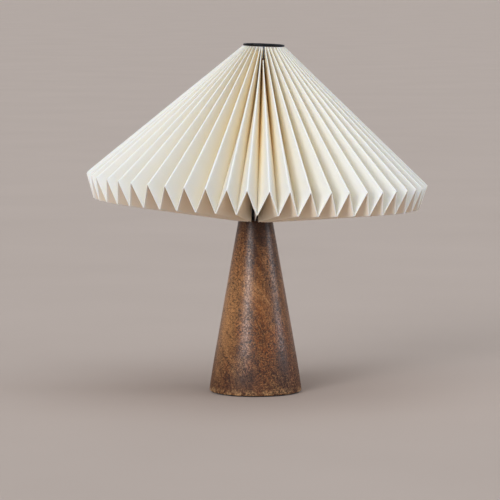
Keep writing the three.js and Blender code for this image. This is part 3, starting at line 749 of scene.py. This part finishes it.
                # painted glow: a golden tint in the folds next to the seam, stronger towards the top
                seam_glow_paint = 0.18 * math.exp(-(((k_from_seam + 6) / 6.0) ** 2)) * d ** 1.3
                # painted shade: the left half's panels turn away from the light and are tinted golden right across
                spread = c ** 0.85 * (0.12 + 0.46 * d ** 0.9) if side < 0 else c ** 1.3 * (0.16 + 0.74 * d ** 0.8)
                # painted shade: a darker golden tint far into the folds next to the seam
                near = 0.35 * c * math.exp(-((k_from_seam / 3.0) ** 2)) * min(1.0, 2 * d)
                # painted shade: more tint towards the top, where the folds close up
                fold_shade_paint_attr.append(min(1.0, spread + near + 0.20 * d ** 1.6 + seam_glow_paint))
                under_attr.append(0.0)
            else:
                # painted shade: a golden tint under the shade next to the seam
                fold_shade_paint_attr.append(0.30 * math.exp(-abs(k_from_seam) / 6.0))
                under_attr.append(1.0)

        F = [fold_at(j, s) for j in range(n + 1)]
        slope = UP if s["up"] else UNDER
        for p in range(n):
            k_from_seam = seam_index(p) if p < n // 2 else seam_index(p + 1)
            A, B = point(F[p], F[p][3]), point(F[p + 1], -F[p + 1][3])
            # across the panel, from the fold that stands out to the one that lies in
            first_is_peak = (p % 2 == 1) == s["up"]
            span = B - A
            mid = 0.5 * (F[p][2] + F[p + 1][2])
            out = np.array((slope[0] * math.sin(mid), -slope[0] * math.cos(mid), slope[1]))
            sp = span / np.linalg.norm(span)
            nrm = out - sp * out.dot(sp)
            nrm /= np.linalg.norm(nrm)
            for k, q in enumerate(Q):
                f = q if first_is_peak else 1 - Q[len(Q) - 1 - k]
                c = f if first_is_peak else 1 - f
                b = 0.0 if s["rim"] else bulge(c, p, s["u"] if s["up"] else min(1.0, 3 * s["w"]) * (1.05 - s["w"]))
                b *= 1.0 if s["up"] else 0.35
                if s["up"]:
                    b *= min(1.0, (1 - s["u"]) * 9)
                pt = A + span * f + nrm * b
                if s["up"] and not s["rim"]:
                    pt = pt + nrm * wave[p] * math.sin(2 * math.pi * s["u"]) * math.sin(math.pi * f)
                # paler crest: crease whitening and a painted highlight
                fa = max(0.0, 1 - c / 0.045) * fold_white(True, s)
                if s["rim"]:
                    fa = 1.0
                elif s["up"] and s["u"] > 0.97:
                    fa = max(fa, 0.5)
                put(pt, fa, c)
            if p + 1 < n:
                j = p + 1
                r, z, a, o, shift = F[j]
                valley = j % 2 == 0
                peak = valley != s["up"]
                for c in C:
                    lift = 0.0
                    if peak and not s["rim"] and s["lift"]:
                        lift = 0.5 * o * (1 - c * c)
                    put(point((r + slope[0] * lift, z + slope[1] * lift, a, o, shift), c * o), fold_white(peak, s), 0.0 if peak else 1.0)
        return ids

    O = [row(s) for s in stations(True)]
    I = [row(s) for s in stations(False)]
    nu = len(US)
    faces = []
    m = len(O[0])

    def quad(a, b, c, d):
        faces.append((a, b, c, d))

    for R0, R1 in zip(O, O[1:]):
        for i in range(m - 1):
            quad(R0[i], R1[i], R1[i + 1], R0[i + 1])
    for R0, R1 in zip(I, I[1:]):
        for i in range(m - 1):
            quad(R0[i], R0[i + 1], R1[i + 1], R1[i])
    for i in range(m - 1):
        quad(O[0][i], O[0][i + 1], I[0][i + 1], I[0][i])
        quad(O[-1][i], I[-1][i], I[-1][i + 1], O[-1][i + 1])
    # ends at the seams: outer row nu is the rim's lower line and shares inner row nu - 1
    pair = [(k, k) for k in range(nu)] + [(nu + k, nu - 1 + k) for k in range(len(LS))]
    for (o0, i0), (o1, i1) in zip(pair, pair[1:]):
        if i0 == i1:
            faces.append((O[o0][0], I[i0][0], O[o1][0]))
            faces.append((O[o0][-1], O[o1][-1], I[i0][-1]))
        else:
            quad(O[o0][0], I[i0][0], I[i1][0], O[o1][0])
            quad(O[o0][-1], O[o1][-1], I[i1][-1], I[i0][-1])

    # the narrow ridge that is left between the strips' ends under the shade,
    # one to each strip: right strip at the front, left strip at the back
    base_az = TURN if side > 0 else TURN + math.pi
    cross = [(-1.7, 1.0), (-0.45, 0.22), (0.0, 0.0), (0.35, 0.2), (0.75, 0.55)]
    rows = []
    for w in (0.004, 0.03, 0.1, 0.25, 0.45, 0.65, 0.85, 1.0):
        r0, z0 = lerp(V_RIM, V_IN, w)
        r1, z1 = lerp(M_RIM, M_IN, w)
        pitch = math.pi / n * r0
        ids = []
        for face in (1, -1):
            for tx, _ in cross:
                q = min(0.95, abs(tx) / pitch)
                nx = face * t / 2
                r, z = r0 + (r1 - r0) * q + UNDER[0] * nx, z0 + (z1 - z0) * q + UNDER[1] * nx
                x = tx * min(1.0, pitch / 2.6)
                ids.append(len(verts))
                verts.append((r * math.sin(base_az) + x * math.cos(base_az), -r * math.cos(base_az) + x * math.sin(base_az), z))
                # paler edge (crease whitening and a painted highlight) and a light painted-shade tint on this ridge
                fold_attr.append(1.0 if abs(tx) < 0.5 else 0.6)
                fold_shade_paint_attr.append(0.2)
                under_attr.append(0.0)
        rows.append(ids)
    c = len(cross)
    loop = list(range(c)) + list(range(2 * c - 1, c - 1, -1))
    for R0, R1 in zip(rows, rows[1:]):
        for i in range(2 * c):
            i2 = (i + 1) % (2 * c)
            quad(R0[loop[i]], R0[loop[i2]], R1[loop[i2]], R1[loop[i]])
    for i in range(c - 1):
        quad(rows[0][i + 1], rows[0][i], rows[0][c + i], rows[0][c + i + 1])
        quad(rows[-1][i], rows[-1][i + 1], rows[-1][c + i + 1], rows[-1][c + i])
    name = "pleated_paper_right" if side > 0 else "pleated_paper_left"
    o = make(name, verts, faces, PAPER, 38, attr={"fold": fold_attr, "fold_shade_paint": fold_shade_paint_attr, "under": under_attr})
    return lean(o)


for side, first, seed in ((1, 1, 11), (-1, 5, 23)):
    o = paper_half(side, seed)
    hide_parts(*["paper_cone_%d" % k for k in range(first, first + 4)], *["paper_underside_%d" % k for k in range(first, first + 4)])
    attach(o, "shade")

# ---------------------------------------------------------------- wood foot
def wood_radius(z):
    line = sorted((q[1], q[0]) for q in WOOD_LINE)
    return sum(curve(z + d, line) for d in (-5, -2.5, 0, 2.5, 5)) / 5 if z > 10 else curve(z, line)


def foot():
    z0 = FELT_T + 0.3
    prof = [(BORE_R, WOOD_TOP)]
    for k in range(6):
        a = math.pi / 2 * k / 5
        prof.append((NECK_R - 0.9 + 0.9 * math.sin(a), WOOD_TOP - 0.9 + 0.9 * math.cos(a)))
    for k in range(1, 48):
        z = WOOD_TOP - 4 - (WOOD_TOP - 4 - 4.0) * k / 48
        prof.append((wood_radius(z), z))
    for k in range(7):
        a = math.pi / 2 * k / 6
        prof.append((FOOT_R - 1.6 + 1.6 * math.cos(a), z0 + 1.7 - 1.7 * math.sin(a)))
    prof += [(RECESS_R, z0), (RECESS_R, RECESS_TOP), (BORE_R, RECESS_TOP)]
    o = lathe("turned_wood_foot", prof, WOOD, 160, 40)
    cut = lathe("cord_hole_cutter", [(0, 15), (CORD_HOLE_R, 15), (CORD_HOLE_R, 75), (0, 75)], WOOD, 40)
    cut.data.transform(Matrix.Translation((0, 0, CORD_Z * MM)) @ Matrix.Rotation(-math.pi / 2, 4, "X"))
    mod = o.modifiers.new("hole", "BOOLEAN")
    mod.operation, mod.object, mod.solver = "DIFFERENCE", cut, "EXACT"
    dg = bpy.context.evaluated_depsgraph_get()
    me = bpy.data.meshes.new_from_object(o.evaluated_get(dg))
    o.modifiers.clear()
    o.data = me
    bpy.data.objects.remove(cut)
    me.polygons.foreach_set("use_smooth", [True] * len(me.polygons))
    me.set_sharp_from_angle(angle=math.radians(40))
    return o


o = foot()
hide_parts("wood_base")
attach(o, "base")

# ---------------------------------------------------------------- wire carrier
def ring(name, node, R, wire, z, mat, segs=140, shift=0.0):
    pts = [(shift + R * math.cos(2 * math.pi * i / segs), R * math.sin(2 * math.pi * i / segs), z) for i in range(segs)]
    o = lean(tube(name, pts, wire, mat, 18, True))
    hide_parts(node)
    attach(o, "shade")
    return o


ring("top_wire_ring", "top_ring", RING_R, RING_WIRE_R, RING_Z, ENAMEL, shift=TOP_SHIFT)
ring("neck_wire_ring", "lower_wire_ring", LOWER_RING_R, LOWER_WIRE_R, CARRIER_Z, ENAMEL)

# ---------------------------------------------------------------- wires of the carrier
def fit(o, node, body):
    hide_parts(node)
    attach(o, body)
    return o


def spline(pts, steps=8):
    """Smooth line through points."""
    P = [np.array(p, float) for p in pts]
    P = [2 * P[0] - P[1], *P, 2 * P[-1] - P[-2]]
    out = []
    for a, b, c, d in zip(P, P[1:], P[2:], P[3:]):
        for k in range(steps):
            u = k / steps
            out.append(0.5 * (2 * b + (c - a) * u + (2 * a - 5 * b + 4 * c - d) * u * u + (3 * b - a - 3 * c + d) * u ** 3))
    out.append(P[-2])
    return out


def bead(centre, radii, segs=14, rings=9):
    """Closed rounded blob, as (vertices, faces)."""
    verts, faces = [], []
    for i in range(rings + 1):
        el = math.pi * i / rings - math.pi / 2
        if i in (0, rings):
            verts.append([(0, 0, math.sin(el))])
            continue
        verts.append([(math.cos(el) * math.cos(2 * math.pi * k / segs), math.cos(el) * math.sin(2 * math.pi * k / segs), math.sin(el)) for k in range(segs)])
    flat, rows = [], []
    for r in verts:
        rows.append([len(flat) + k for k in range(len(r))])
        flat += [tuple(c + v * q for c, v, q in zip(centre, p, radii)) for p in r]
    for A, B in zip(rows, rows[1:]):
        for k in range(segs):
            k2 = (k + 1) % segs
            if len(A) == 1:
                faces.append((A[0], B[k2], B[k]))
            elif len(B) == 1:
                faces.append((A[k], A[k2], B[0]))
            else:
                faces.append((A[k], A[k2], B[k2], B[k]))
    return flat, faces


def join(name, objs):
    """One object out of several, in mm helpers' metres."""
    verts, faces, off = [], [], 0
    mats = objs[0].data.materials[0]
    for o in objs:
        verts += [tuple(v.co / MM) for v in o.data.vertices]
        faces += [tuple(i + off for i in p.vertices) for p in o.data.polygons]
        off = len(verts)
        me = o.data
        bpy.data.objects.remove(o)
        bpy.data.meshes.remove(me)
    me = bpy.data.meshes.new(name)
    me.from_pydata([tuple(c * MM for c in v) for v in verts], [], faces)
    me.materials.append(mats)
    me.polygons.foreach_set("use_smooth", [True] * len(me.polygons))
    me.set_sharp_from_angle(angle=math.radians(50))
    me.update()
    o = bpy.data.objects.new(name, me)
    bpy.context.scene.collection.objects.link(o)
    return o


for k, name in ((-1, "upright_wire_front"), (1, "upright_wire_rear")):
    line = spline(
        [
            (0, k * (LOWER_RING_R - 0.1), CARRIER_Z + LOWER_WIRE_R + 0.1),
            (0.25 * TOP_SHIFT, k * 35.6, 75),
            (0.5 * TOP_SHIFT, k * 35.8, 120),
            (0.72 * TOP_SHIFT, k * 33.8, 150),
            (0.95 * TOP_SHIFT, k * 28.8, 180),
            (TOP_SHIFT, k * RING_R, RING_Z - RING_WIRE_R - 0.1),
        ],
        10,
    )
    parts = [tube("u", line, UPRIGHT_R, WIRE, 18)]
    for c, q in (
        ((TOP_SHIFT, k * (RING_R + 0.15), RING_Z - RING_WIRE_R - 0.1), (1.55, 1.35, 1.0)),
        ((0, k * (LOWER_RING_R - 0.05), CARRIER_Z + LOWER_WIRE_R + 0.1), (1.6, 1.3, 1.0)),
    ):
        v, f = bead(c, q)
        parts.append(make("b", v, f, WIRE, 60))
    fit(lean(join(name, parts)), "upright_front" if k < 0 else "upright_rear", "shade")

o = lathe("spider_flat_ring", rounded([(23.4, CARRIER_Z - 0.9), (28.2, CARRIER_Z - 0.9), (28.2, CARRIER_Z + 0.3), (23.4, CARRIER_Z + 0.3)], 0.35, 3), ENAMEL, 96, 40)
fit(lean(o), "spider_ring", "shade")
for i, deg in enumerate((90, 210, 330)):
    a = math.radians(deg - 90)
    r0, r1, z = 27.9, LOWER_RING_R - LOWER_WIRE_R + 0.2, CARRIER_Z - 0.1
    at = lambda r: (r * math.cos(a), r * math.sin(a), z)
    parts = [tube("a", [at(r0 + (r1 - r0) * u / 6) for u in range(7)], 0.98, ENAMEL, 16)]
    for r, q in ((28.4, (1.5, 1.5, 0.8)), (r1 - 0.3, (1.35, 1.35, 1.15))):
        v, f = bead(at(r), q)
        parts.append(make("b", v, f, ENAMEL, 60))
    fit(lean(join("spider_spoke_%d" % (i + 1), parts)), "spider_arm_%d" % (i + 1), "shade")

o = lathe(
    "ivory_reducer",
    rounded(
        [(21.5, CARRIER_Z - 2.7), (27.2, CARRIER_Z - 2.7), (27.2, CARRIER_Z - 1.2), (23.0, CARRIER_Z - 1.2), (23.0, CARRIER_Z + 0.8), (21.5, CARRIER_Z + 0.8)],
        0.3,
        3,
    ),
    IVORY,
    96,
    40,
)
fit(lean(o), "reducer_ring", "seat")

# thread that ties the strips' ends to the front upright
tie = []
for k in range(4):
    zc = 193.2 + 0.62 * k
    tie.append(tube("t", [(TOP_SHIFT * 0.97 + 1.32 * math.cos(q), -26.35 + 0.30 * k + 1.32 * math.sin(q), zc + 0.12 * math.sin(q + k)) for q in (2 * math.pi * i / 28 for i in range(28))], 0.34, THREAD, 8, True))
v, f = bead((TOP_SHIFT * 0.97 + 0.5, -27.75, 194.1), (0.75, 0.6, 0.7))
tie.append(make("b", v, f, THREAD, 60))
o = lean(join("seam_tie", tie))
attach(o, "shade")

# ---------------------------------------------------------------- lampholder and shade rings
def knurled(name, node, z0, body):
    z1 = z0 + 6.6

    def rib(r, z, a):
        k = max(0.0, min(1.0, (r - 26.4) / 1.0))
        w = 0.5 - 0.5 * math.cos(36 * a)
        return r - 0.72 * k * w ** 1.6, z

    prof = [
        (SHADE_RING_BORE_R, z0 + 0.6), (SHADE_RING_BORE_R + 0.6, z0), (27.3, z0), (28.0, z0 + 0.7), (28.0, z1 - 0.7), (27.3, z1),
        (26.0, z1), (25.6, z1 - 0.45), (22.7, z1 - 0.45), (22.3, z1), (SHADE_RING_BORE_R + 0.6, z1), (SHADE_RING_BORE_R, z1 - 0.6),
    ]
    o = lathe(name, rounded(prof, 0.28, 2), PLASTIC, 36 * 8, 40, jitter=rib)
    return fit(o, node, body)


knurled("knurled_ring_lower", "shade_ring_lower", SEAT_Z - 4.1 - 6.6, "lower_ring")
knurled("knurled_ring_upper", "shade_ring_upper", SEAT_Z + 2.5, "upper_ring")


def threaded_skirt():
    z0, z1 = H0 + 20.9, H0 + 55.6
    pitch, inner_pitch = 2.9, 3.6

    def screw(r, z, a):
        if abs(r - (SKIRT_R - 0.7)) < 1e-6 and z0 + 2.4 < z < z1 - 3.0:
            w = 0.5 + 0.5 * math.cos(2 * math.pi * (z / pitch - a / (2 * math.pi)))
            fade = min(1.0, (z - z0 - 2.4) / 1.5, (z1 - 3.0 - z) / 1.5)
            return r + 0.66 * fade * min(1.0, 1.6 * w ** 1.3), z
        if abs(r - 14.3) < 1e-6 and z0 + 9.8 < z < z1 - 1.6:
            w = 0.5 + 0.5 * math.cos(2 * math.pi * (z / inner_pitch - a / (2 * math.pi)))
            return r + 0.45 * w, z
        return r, z

    prof = [(17.3, z0), (SKIRT_R - 0.25, z0), (SKIRT_R, z0 + 0.25), (SKIRT_R, z0 + 1.2), (SKIRT_R - 0.7, z0 + 1.9)]
    k = int((z1 - 2.6 - z0 - 2.2) / 0.36)
    prof += [(SKIRT_R - 0.7, z0 + 2.2 + (z1 - 2.6 - z0 - 2.2) * i / k) for i in range(k + 1)]
    prof += [(SKIRT_R, z1 - 2.1), (SKIRT_R, z1 - 0.7), (SKIRT_R - 0.2, z1 - 0.3), (SKIRT_R - 0.7, z1), (15.2, z1), (14.6, z1 - 0.5), (14.3, z1 - 1.2)]
    k = int((z1 - 1.4 - z0 - 9.4) / 0.45)
    prof += [(14.3, z1 - 1.4 - (z1 - 1.4 - z0 - 9.4) * i / k) for i in range(k + 1)]
    prof += [(14.3, z0 + 9.2), (17.3, z0 + 9.2)]
    return lathe("threaded_skirt", prof, PLASTIC, 96, 45, jitter=screw)


fit(threaded_skirt(), "lampholder_skirt", "base")
fit(
    lathe(
        "holder_dome",
        rounded(
            [(5.3, H0), (15.4, H0), (17.6, H0 + 0.9), (18.9, H0 + 2.6), (19.3, H0 + 5), (19.3, H0 + 20.6), (17.3, H0 + 20.6), (17.3, H0 + 5.5), (15.5, H0 + 2.6), (5.3, H0 + 2.6)],
            1.0,
            4,
        ),
        PLASTIC,
        96,
        40,
    ),
    "lampholder_dome",
    "base",
)
fit(
    lathe("dished_washer", rounded([(5.3, WOOD_TOP + 0.3), (20.6, WOOD_TOP + 0.3), (20.6, WOOD_TOP + 1.6), (5.3, WOOD_TOP + 1.6)], 0.5, 4), PLASTIC, 96, 40),
    "top_washer",
    "base",
)

# ---------------------------------------------------------------- felt and cord bush
def felt():
    rnd = np.random.default_rng(5)
    amp = rnd.uniform(0, 0.22, 240)

    def fuzz(r, z, a):
        if r > FOOT_R - 3.2:
            return r - amp[int(round(a / (2 * math.pi) * 240)) % 240], z
        return r, z

    R = FOOT_R - 2.5
    return lathe("felt_disc", [(0, 0), (R * 0.5, 0), (R - 0.35, 0), (R, 0.25), (R, 0.75), (R - 0.35, FELT_T), (R * 0.5, FELT_T), (0, FELT_T)], FELT, 240, 50, closed=False, jitter=fuzz)


fit(felt(), "felt_pad", "base")


def cut_from(o, tool):
    mod = o.modifiers.new("cut", "BOOLEAN")
    mod.operation, mod.object, mod.solver = "DIFFERENCE", tool, "EXACT"
    dg = bpy.context.evaluated_depsgraph_get()
    me = bpy.data.meshes.new_from_object(o.evaluated_get(dg))
    o.modifiers.clear()
    o.data = me
    bpy.data.objects.remove(tool)
    me.polygons.foreach_set("use_smooth", [True] * len(me.polygons))
    me.set_sharp_from_angle(angle=math.radians(35))
    return o


def bush():
    prof = [
        (3.3, 0), (CORD_HOLE_R - 0.6, 0), (CORD_HOLE_R - 0.3, 0.4), (CORD_HOLE_R - 0.3, 27.2), (7, 28.6), (7, 29.9), (6.8, 30.5), (6.3, 30.9),
        (5.6, 31), (4.3, 31), (3.7, 30.8), (3.3, 30.3),
    ]
    o = lathe("cord_grommet", prof, PLASTIC, 64, 35)
    turn = Matrix.Translation((0, 26.9 * MM, CORD_Z * MM)) @ Matrix.Rotation(-math.pi / 2, 4, "X")
    o.data.transform(turn)
    cone = lathe("cone_tool", [(0, 2)] + [(wood_radius(z) + 0.35, z) for z in (2, 6, 10, 15, 20, 26, 34, 44)] + [(0, 44)], WOOD, 160)
    sleeve = lathe("sleeve_tool", [(0, 0), (CORD_HOLE_R - 0.28, 0), (CORD_HOLE_R - 0.28, 60), (0, 60)], WOOD, 64)
    sleeve.data.transform(Matrix.Translation((0, 10 * MM, CORD_Z * MM)) @ Matrix.Rotation(-math.pi / 2, 4, "X"))
    return cut_from(o, cut_from(cone, sleeve))


fit(bush(), "cord_bush", "base")

# ---------------------------------------------------------------- bulb
TIP = H0 + 29.8
C0, C1 = TIP + 5.5, TIP + 27.0


def bulb_cap():
    def screw(r, z, a):
        if abs(r - CAP_R) < 1e-6:
            w = 0.5 - 0.5 * math.cos(2 * math.pi * (z / 3.6 - a / (2 * math.pi)))
            fade = max(0.0, min(1.0, (z - C0 - 1.0) / 1.6, (C0 + 18.2 - z) / 1.4))
            return r - 0.25 - 0.9 * w * fade, z
        return r, z

    prof = [(9, C0), (11.2, C0), (11.9, C0 + 0.3), (12.4, C0 + 0.8)]
    prof += [(CAP_R, C0 + 1.0 + 17.2 * i / 46) for i in range(47)]
    prof += [(CAP_R - 0.25, C0 + 18.4), (CAP_R - 0.1, C0 + 18.9), (CAP_R - 0.1, C0 + 19.7), (CAP_R - 0.4, C0 + 20.1), (CAP_R - 0.4, C1 - 0.4), (CAP_R - 0.3, C1), (CAP_R - 0.8, C1)]
    prof += [(11.7, C0 + 18.6), (11.55, C0 + 1.6), (9, C0 + 1.0)]
    return lathe("screw_cap", prof, CAP, 96, 40, jitter=screw)


def bulb_globe():
    gc = TIP + 105 - GLOBE_R
    line = [(11.2, C1 - 6), (11.25, C1 - 2), (11.4, C1 + 2), (13.0, C1 + 9), (17.6, C1 + 18.5), (GLOBE_R * math.cos(math.radians(-38)), gc + GLOBE_R * math.sin(math.radians(-38)))]
    pts = [tuple(p) for p in spline([(r, z) for r, z in line], 6)]
    pts += [(GLOBE_R * math.cos(math.radians(d)), gc + GLOBE_R * math.sin(math.radians(d))) for d in range(-33, 90, 5)]
    pts.append((0.0, gc + GLOBE_R))
    out, inn = [], []
    for i, (r, z) in enumerate(pts):
        a, b = pts[max(0, i - 1)], pts[min(len(pts) - 1, i + 1)]
        d = np.array((b[0] - a[0], b[1] - a[1]))
        d /= np.linalg.norm(d)
        if i == len(pts) - 1:
            inn.append((0.0, z - 0.8))
        else:
            inn.append((max(0.4, r - 0.8 * d[1]), z + 0.8 * d[0]))
        out.append((r, z))
    return lathe("frosted_globe", out + inn[::-1], GLASS, 96, 50)


fit(bulb_cap(), "bulb_cap", "bulb")
fit(bulb_globe(), "bulb_globe", "bulb")
fit(lathe("solder_tip", [(0, TIP), (1.6, TIP + 0.02), (3.0, TIP + 0.12), (4.1, TIP + 0.42), (4.6, TIP + 0.8), (4.6, TIP + 1.2), (0, TIP + 1.2)], CAP, 64, 40, closed=False), "bulb_tip", "bulb")
fit(
    lathe("glass_collar", [(0, TIP + 1.5), (5.2, TIP + 1.5), (5.6, TIP + 1.7), (10.3, TIP + 4.1), (10.6, TIP + 4.5), (10.6, TIP + 5.2), (0, TIP + 5.2)], VITRITE, 64, 40, closed=False),
    "bulb_insulator",
    "bulb",
)

# ---------------------------------------------------------------- finish of the CAD nodes that stay
keep = {
    "threaded_tube": STEEL,
    "bottom_washer": STEEL,
    "bottom_nut": BRASS_DULL,
    "holder_nut": BRASS_DULL,
    "lampholder_insert": CERAMIC,
    "terminal_screw_left": BRASS,
    "terminal_screw_right": BRASS,
    "side_contact_left": BRASS,
    "side_contact_right": BRASS,
    "centre_contact": BRASS,
    "bulb_stem": STEM,
    "bulb_filament": PHOSPHOR,
}
for name, mat in keep.items():
    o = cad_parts[name]
    o.data.materials.clear()
    o.data.materials.append(mat)
    for p in o.data.polygons:
        p.use_smooth = True
    o.data.set_sharp_from_angle(angle=math.radians(35))

# ---------------------------------------------------------------- camera, floor, light
F_PX, PITCH, DIST, CAM_H, CAM_X = 3150.0, math.radians(5.35), 3.780, 0.5254, -0.0067
cam = bpy.data.objects.new("camera", bpy.data.cameras.new("camera"))
bpy.context.scene.collection.objects.link(cam)
cam.data.sensor_width = 36.0
cam.data.sensor_fit = "HORIZONTAL"
cam.data.lens = F_PX * 36.0 / 500.0
cam.data.clip_start, cam.data.clip_end = 0.05, 400.0
cam.location = (CAM_X, -DIST, CAM_H)
cam.rotation_euler = (math.pi / 2 - PITCH, 0, 0)
cam.data.dof.use_dof = False
bpy.context.scene.camera = cam


def floor():
    me = bpy.data.meshes.new("floor")
    R = 90.0
    me.from_pydata([(-R, -R, 0), (R, -R, 0), (R, R, 0), (-R, R, 0)], [], [(0, 1, 2, 3)])
    t = Tree("pale_floor")
    co = t.coords()
    a = t.noise(co, 3.0, 2.0, 0.5)
    t.to("Base Color", t.mix(t.rng(a, 0.3, 0.7, 0.0, 1.0), rgb(195, 179, 169), rgb(198, 182, 172)))
    t.set(Roughness=0.9)
    t.bsdf.inputs["Specular IOR Level"].default_value = 0.1
    me.materials.append(t.mat)
    o = bpy.data.objects.new("floor", me)
    bpy.context.scene.collection.objects.link(o)


floor()


def sun(name, azimuth, elevation, spread, strength, color):
    """Soft distant light: azimuth to the right of the camera's side, all in degrees."""
    l = bpy.data.lights.new(name, "SUN")
    l.energy, l.angle, l.color = strength, math.radians(spread), color
    o = bpy.data.objects.new(name, l)
    bpy.context.scene.collection.objects.link(o)
    az, el = math.radians(azimuth), math.radians(elevation)
    d = Vector((math.sin(az) * math.cos(el), -math.cos(az) * math.cos(el), math.sin(el)))
    o.location = d * 4
    o.rotation_euler = d.to_track_quat("Z", "Y").to_euler()
    return o


sun("key_front_left", -28, 24, 34, 0.93, (0.90, 0.955, 1.0))
sun("strip_front_left", -31, 12.5, 20, 0.93, (0.92, 0.95, 1.0))
sun("side_right", 84, 9, 22, 0.62, (0.74, 0.87, 1.0))
sun("side_right_wide", 62, 24, 60, 0.40, (0.90, 0.95, 1.0))
sun("overhead", 10, 72, 80, 1.05, (0.88, 0.95, 1.0))
sun("rear_soft", 168, 38, 70, 0.30, (0.92, 0.96, 1.0))

world = bpy.data.worlds.new("studio")
world.use_nodes = True
wt = world.node_tree
bg = wt.nodes["Background"]
bg.inputs[0].default_value = (0.96, 0.97, 1.0, 1)
# brighter towards the horizon
wc, ws, wr = (wt.nodes.new(k) for k in ("ShaderNodeTexCoord", "ShaderNodeSeparateXYZ", "ShaderNodeMapRange"))
for i, v in zip(("From Min", "From Max", "To Min", "To Max"), (0.0, 0.45, 0.50, 0.22)):
    wr.inputs[i].default_value = v
wt.links.new(wc.outputs["Generated"], ws.inputs[0])
wt.links.new(ws.outputs[2], wr.inputs["Value"])
wt.links.new(wr.outputs[0], bg.inputs[1])
bpy.context.scene.world = world
bpy.context.scene.view_settings.view_transform = "Standard"
bpy.context.scene.view_settings.look = "None"
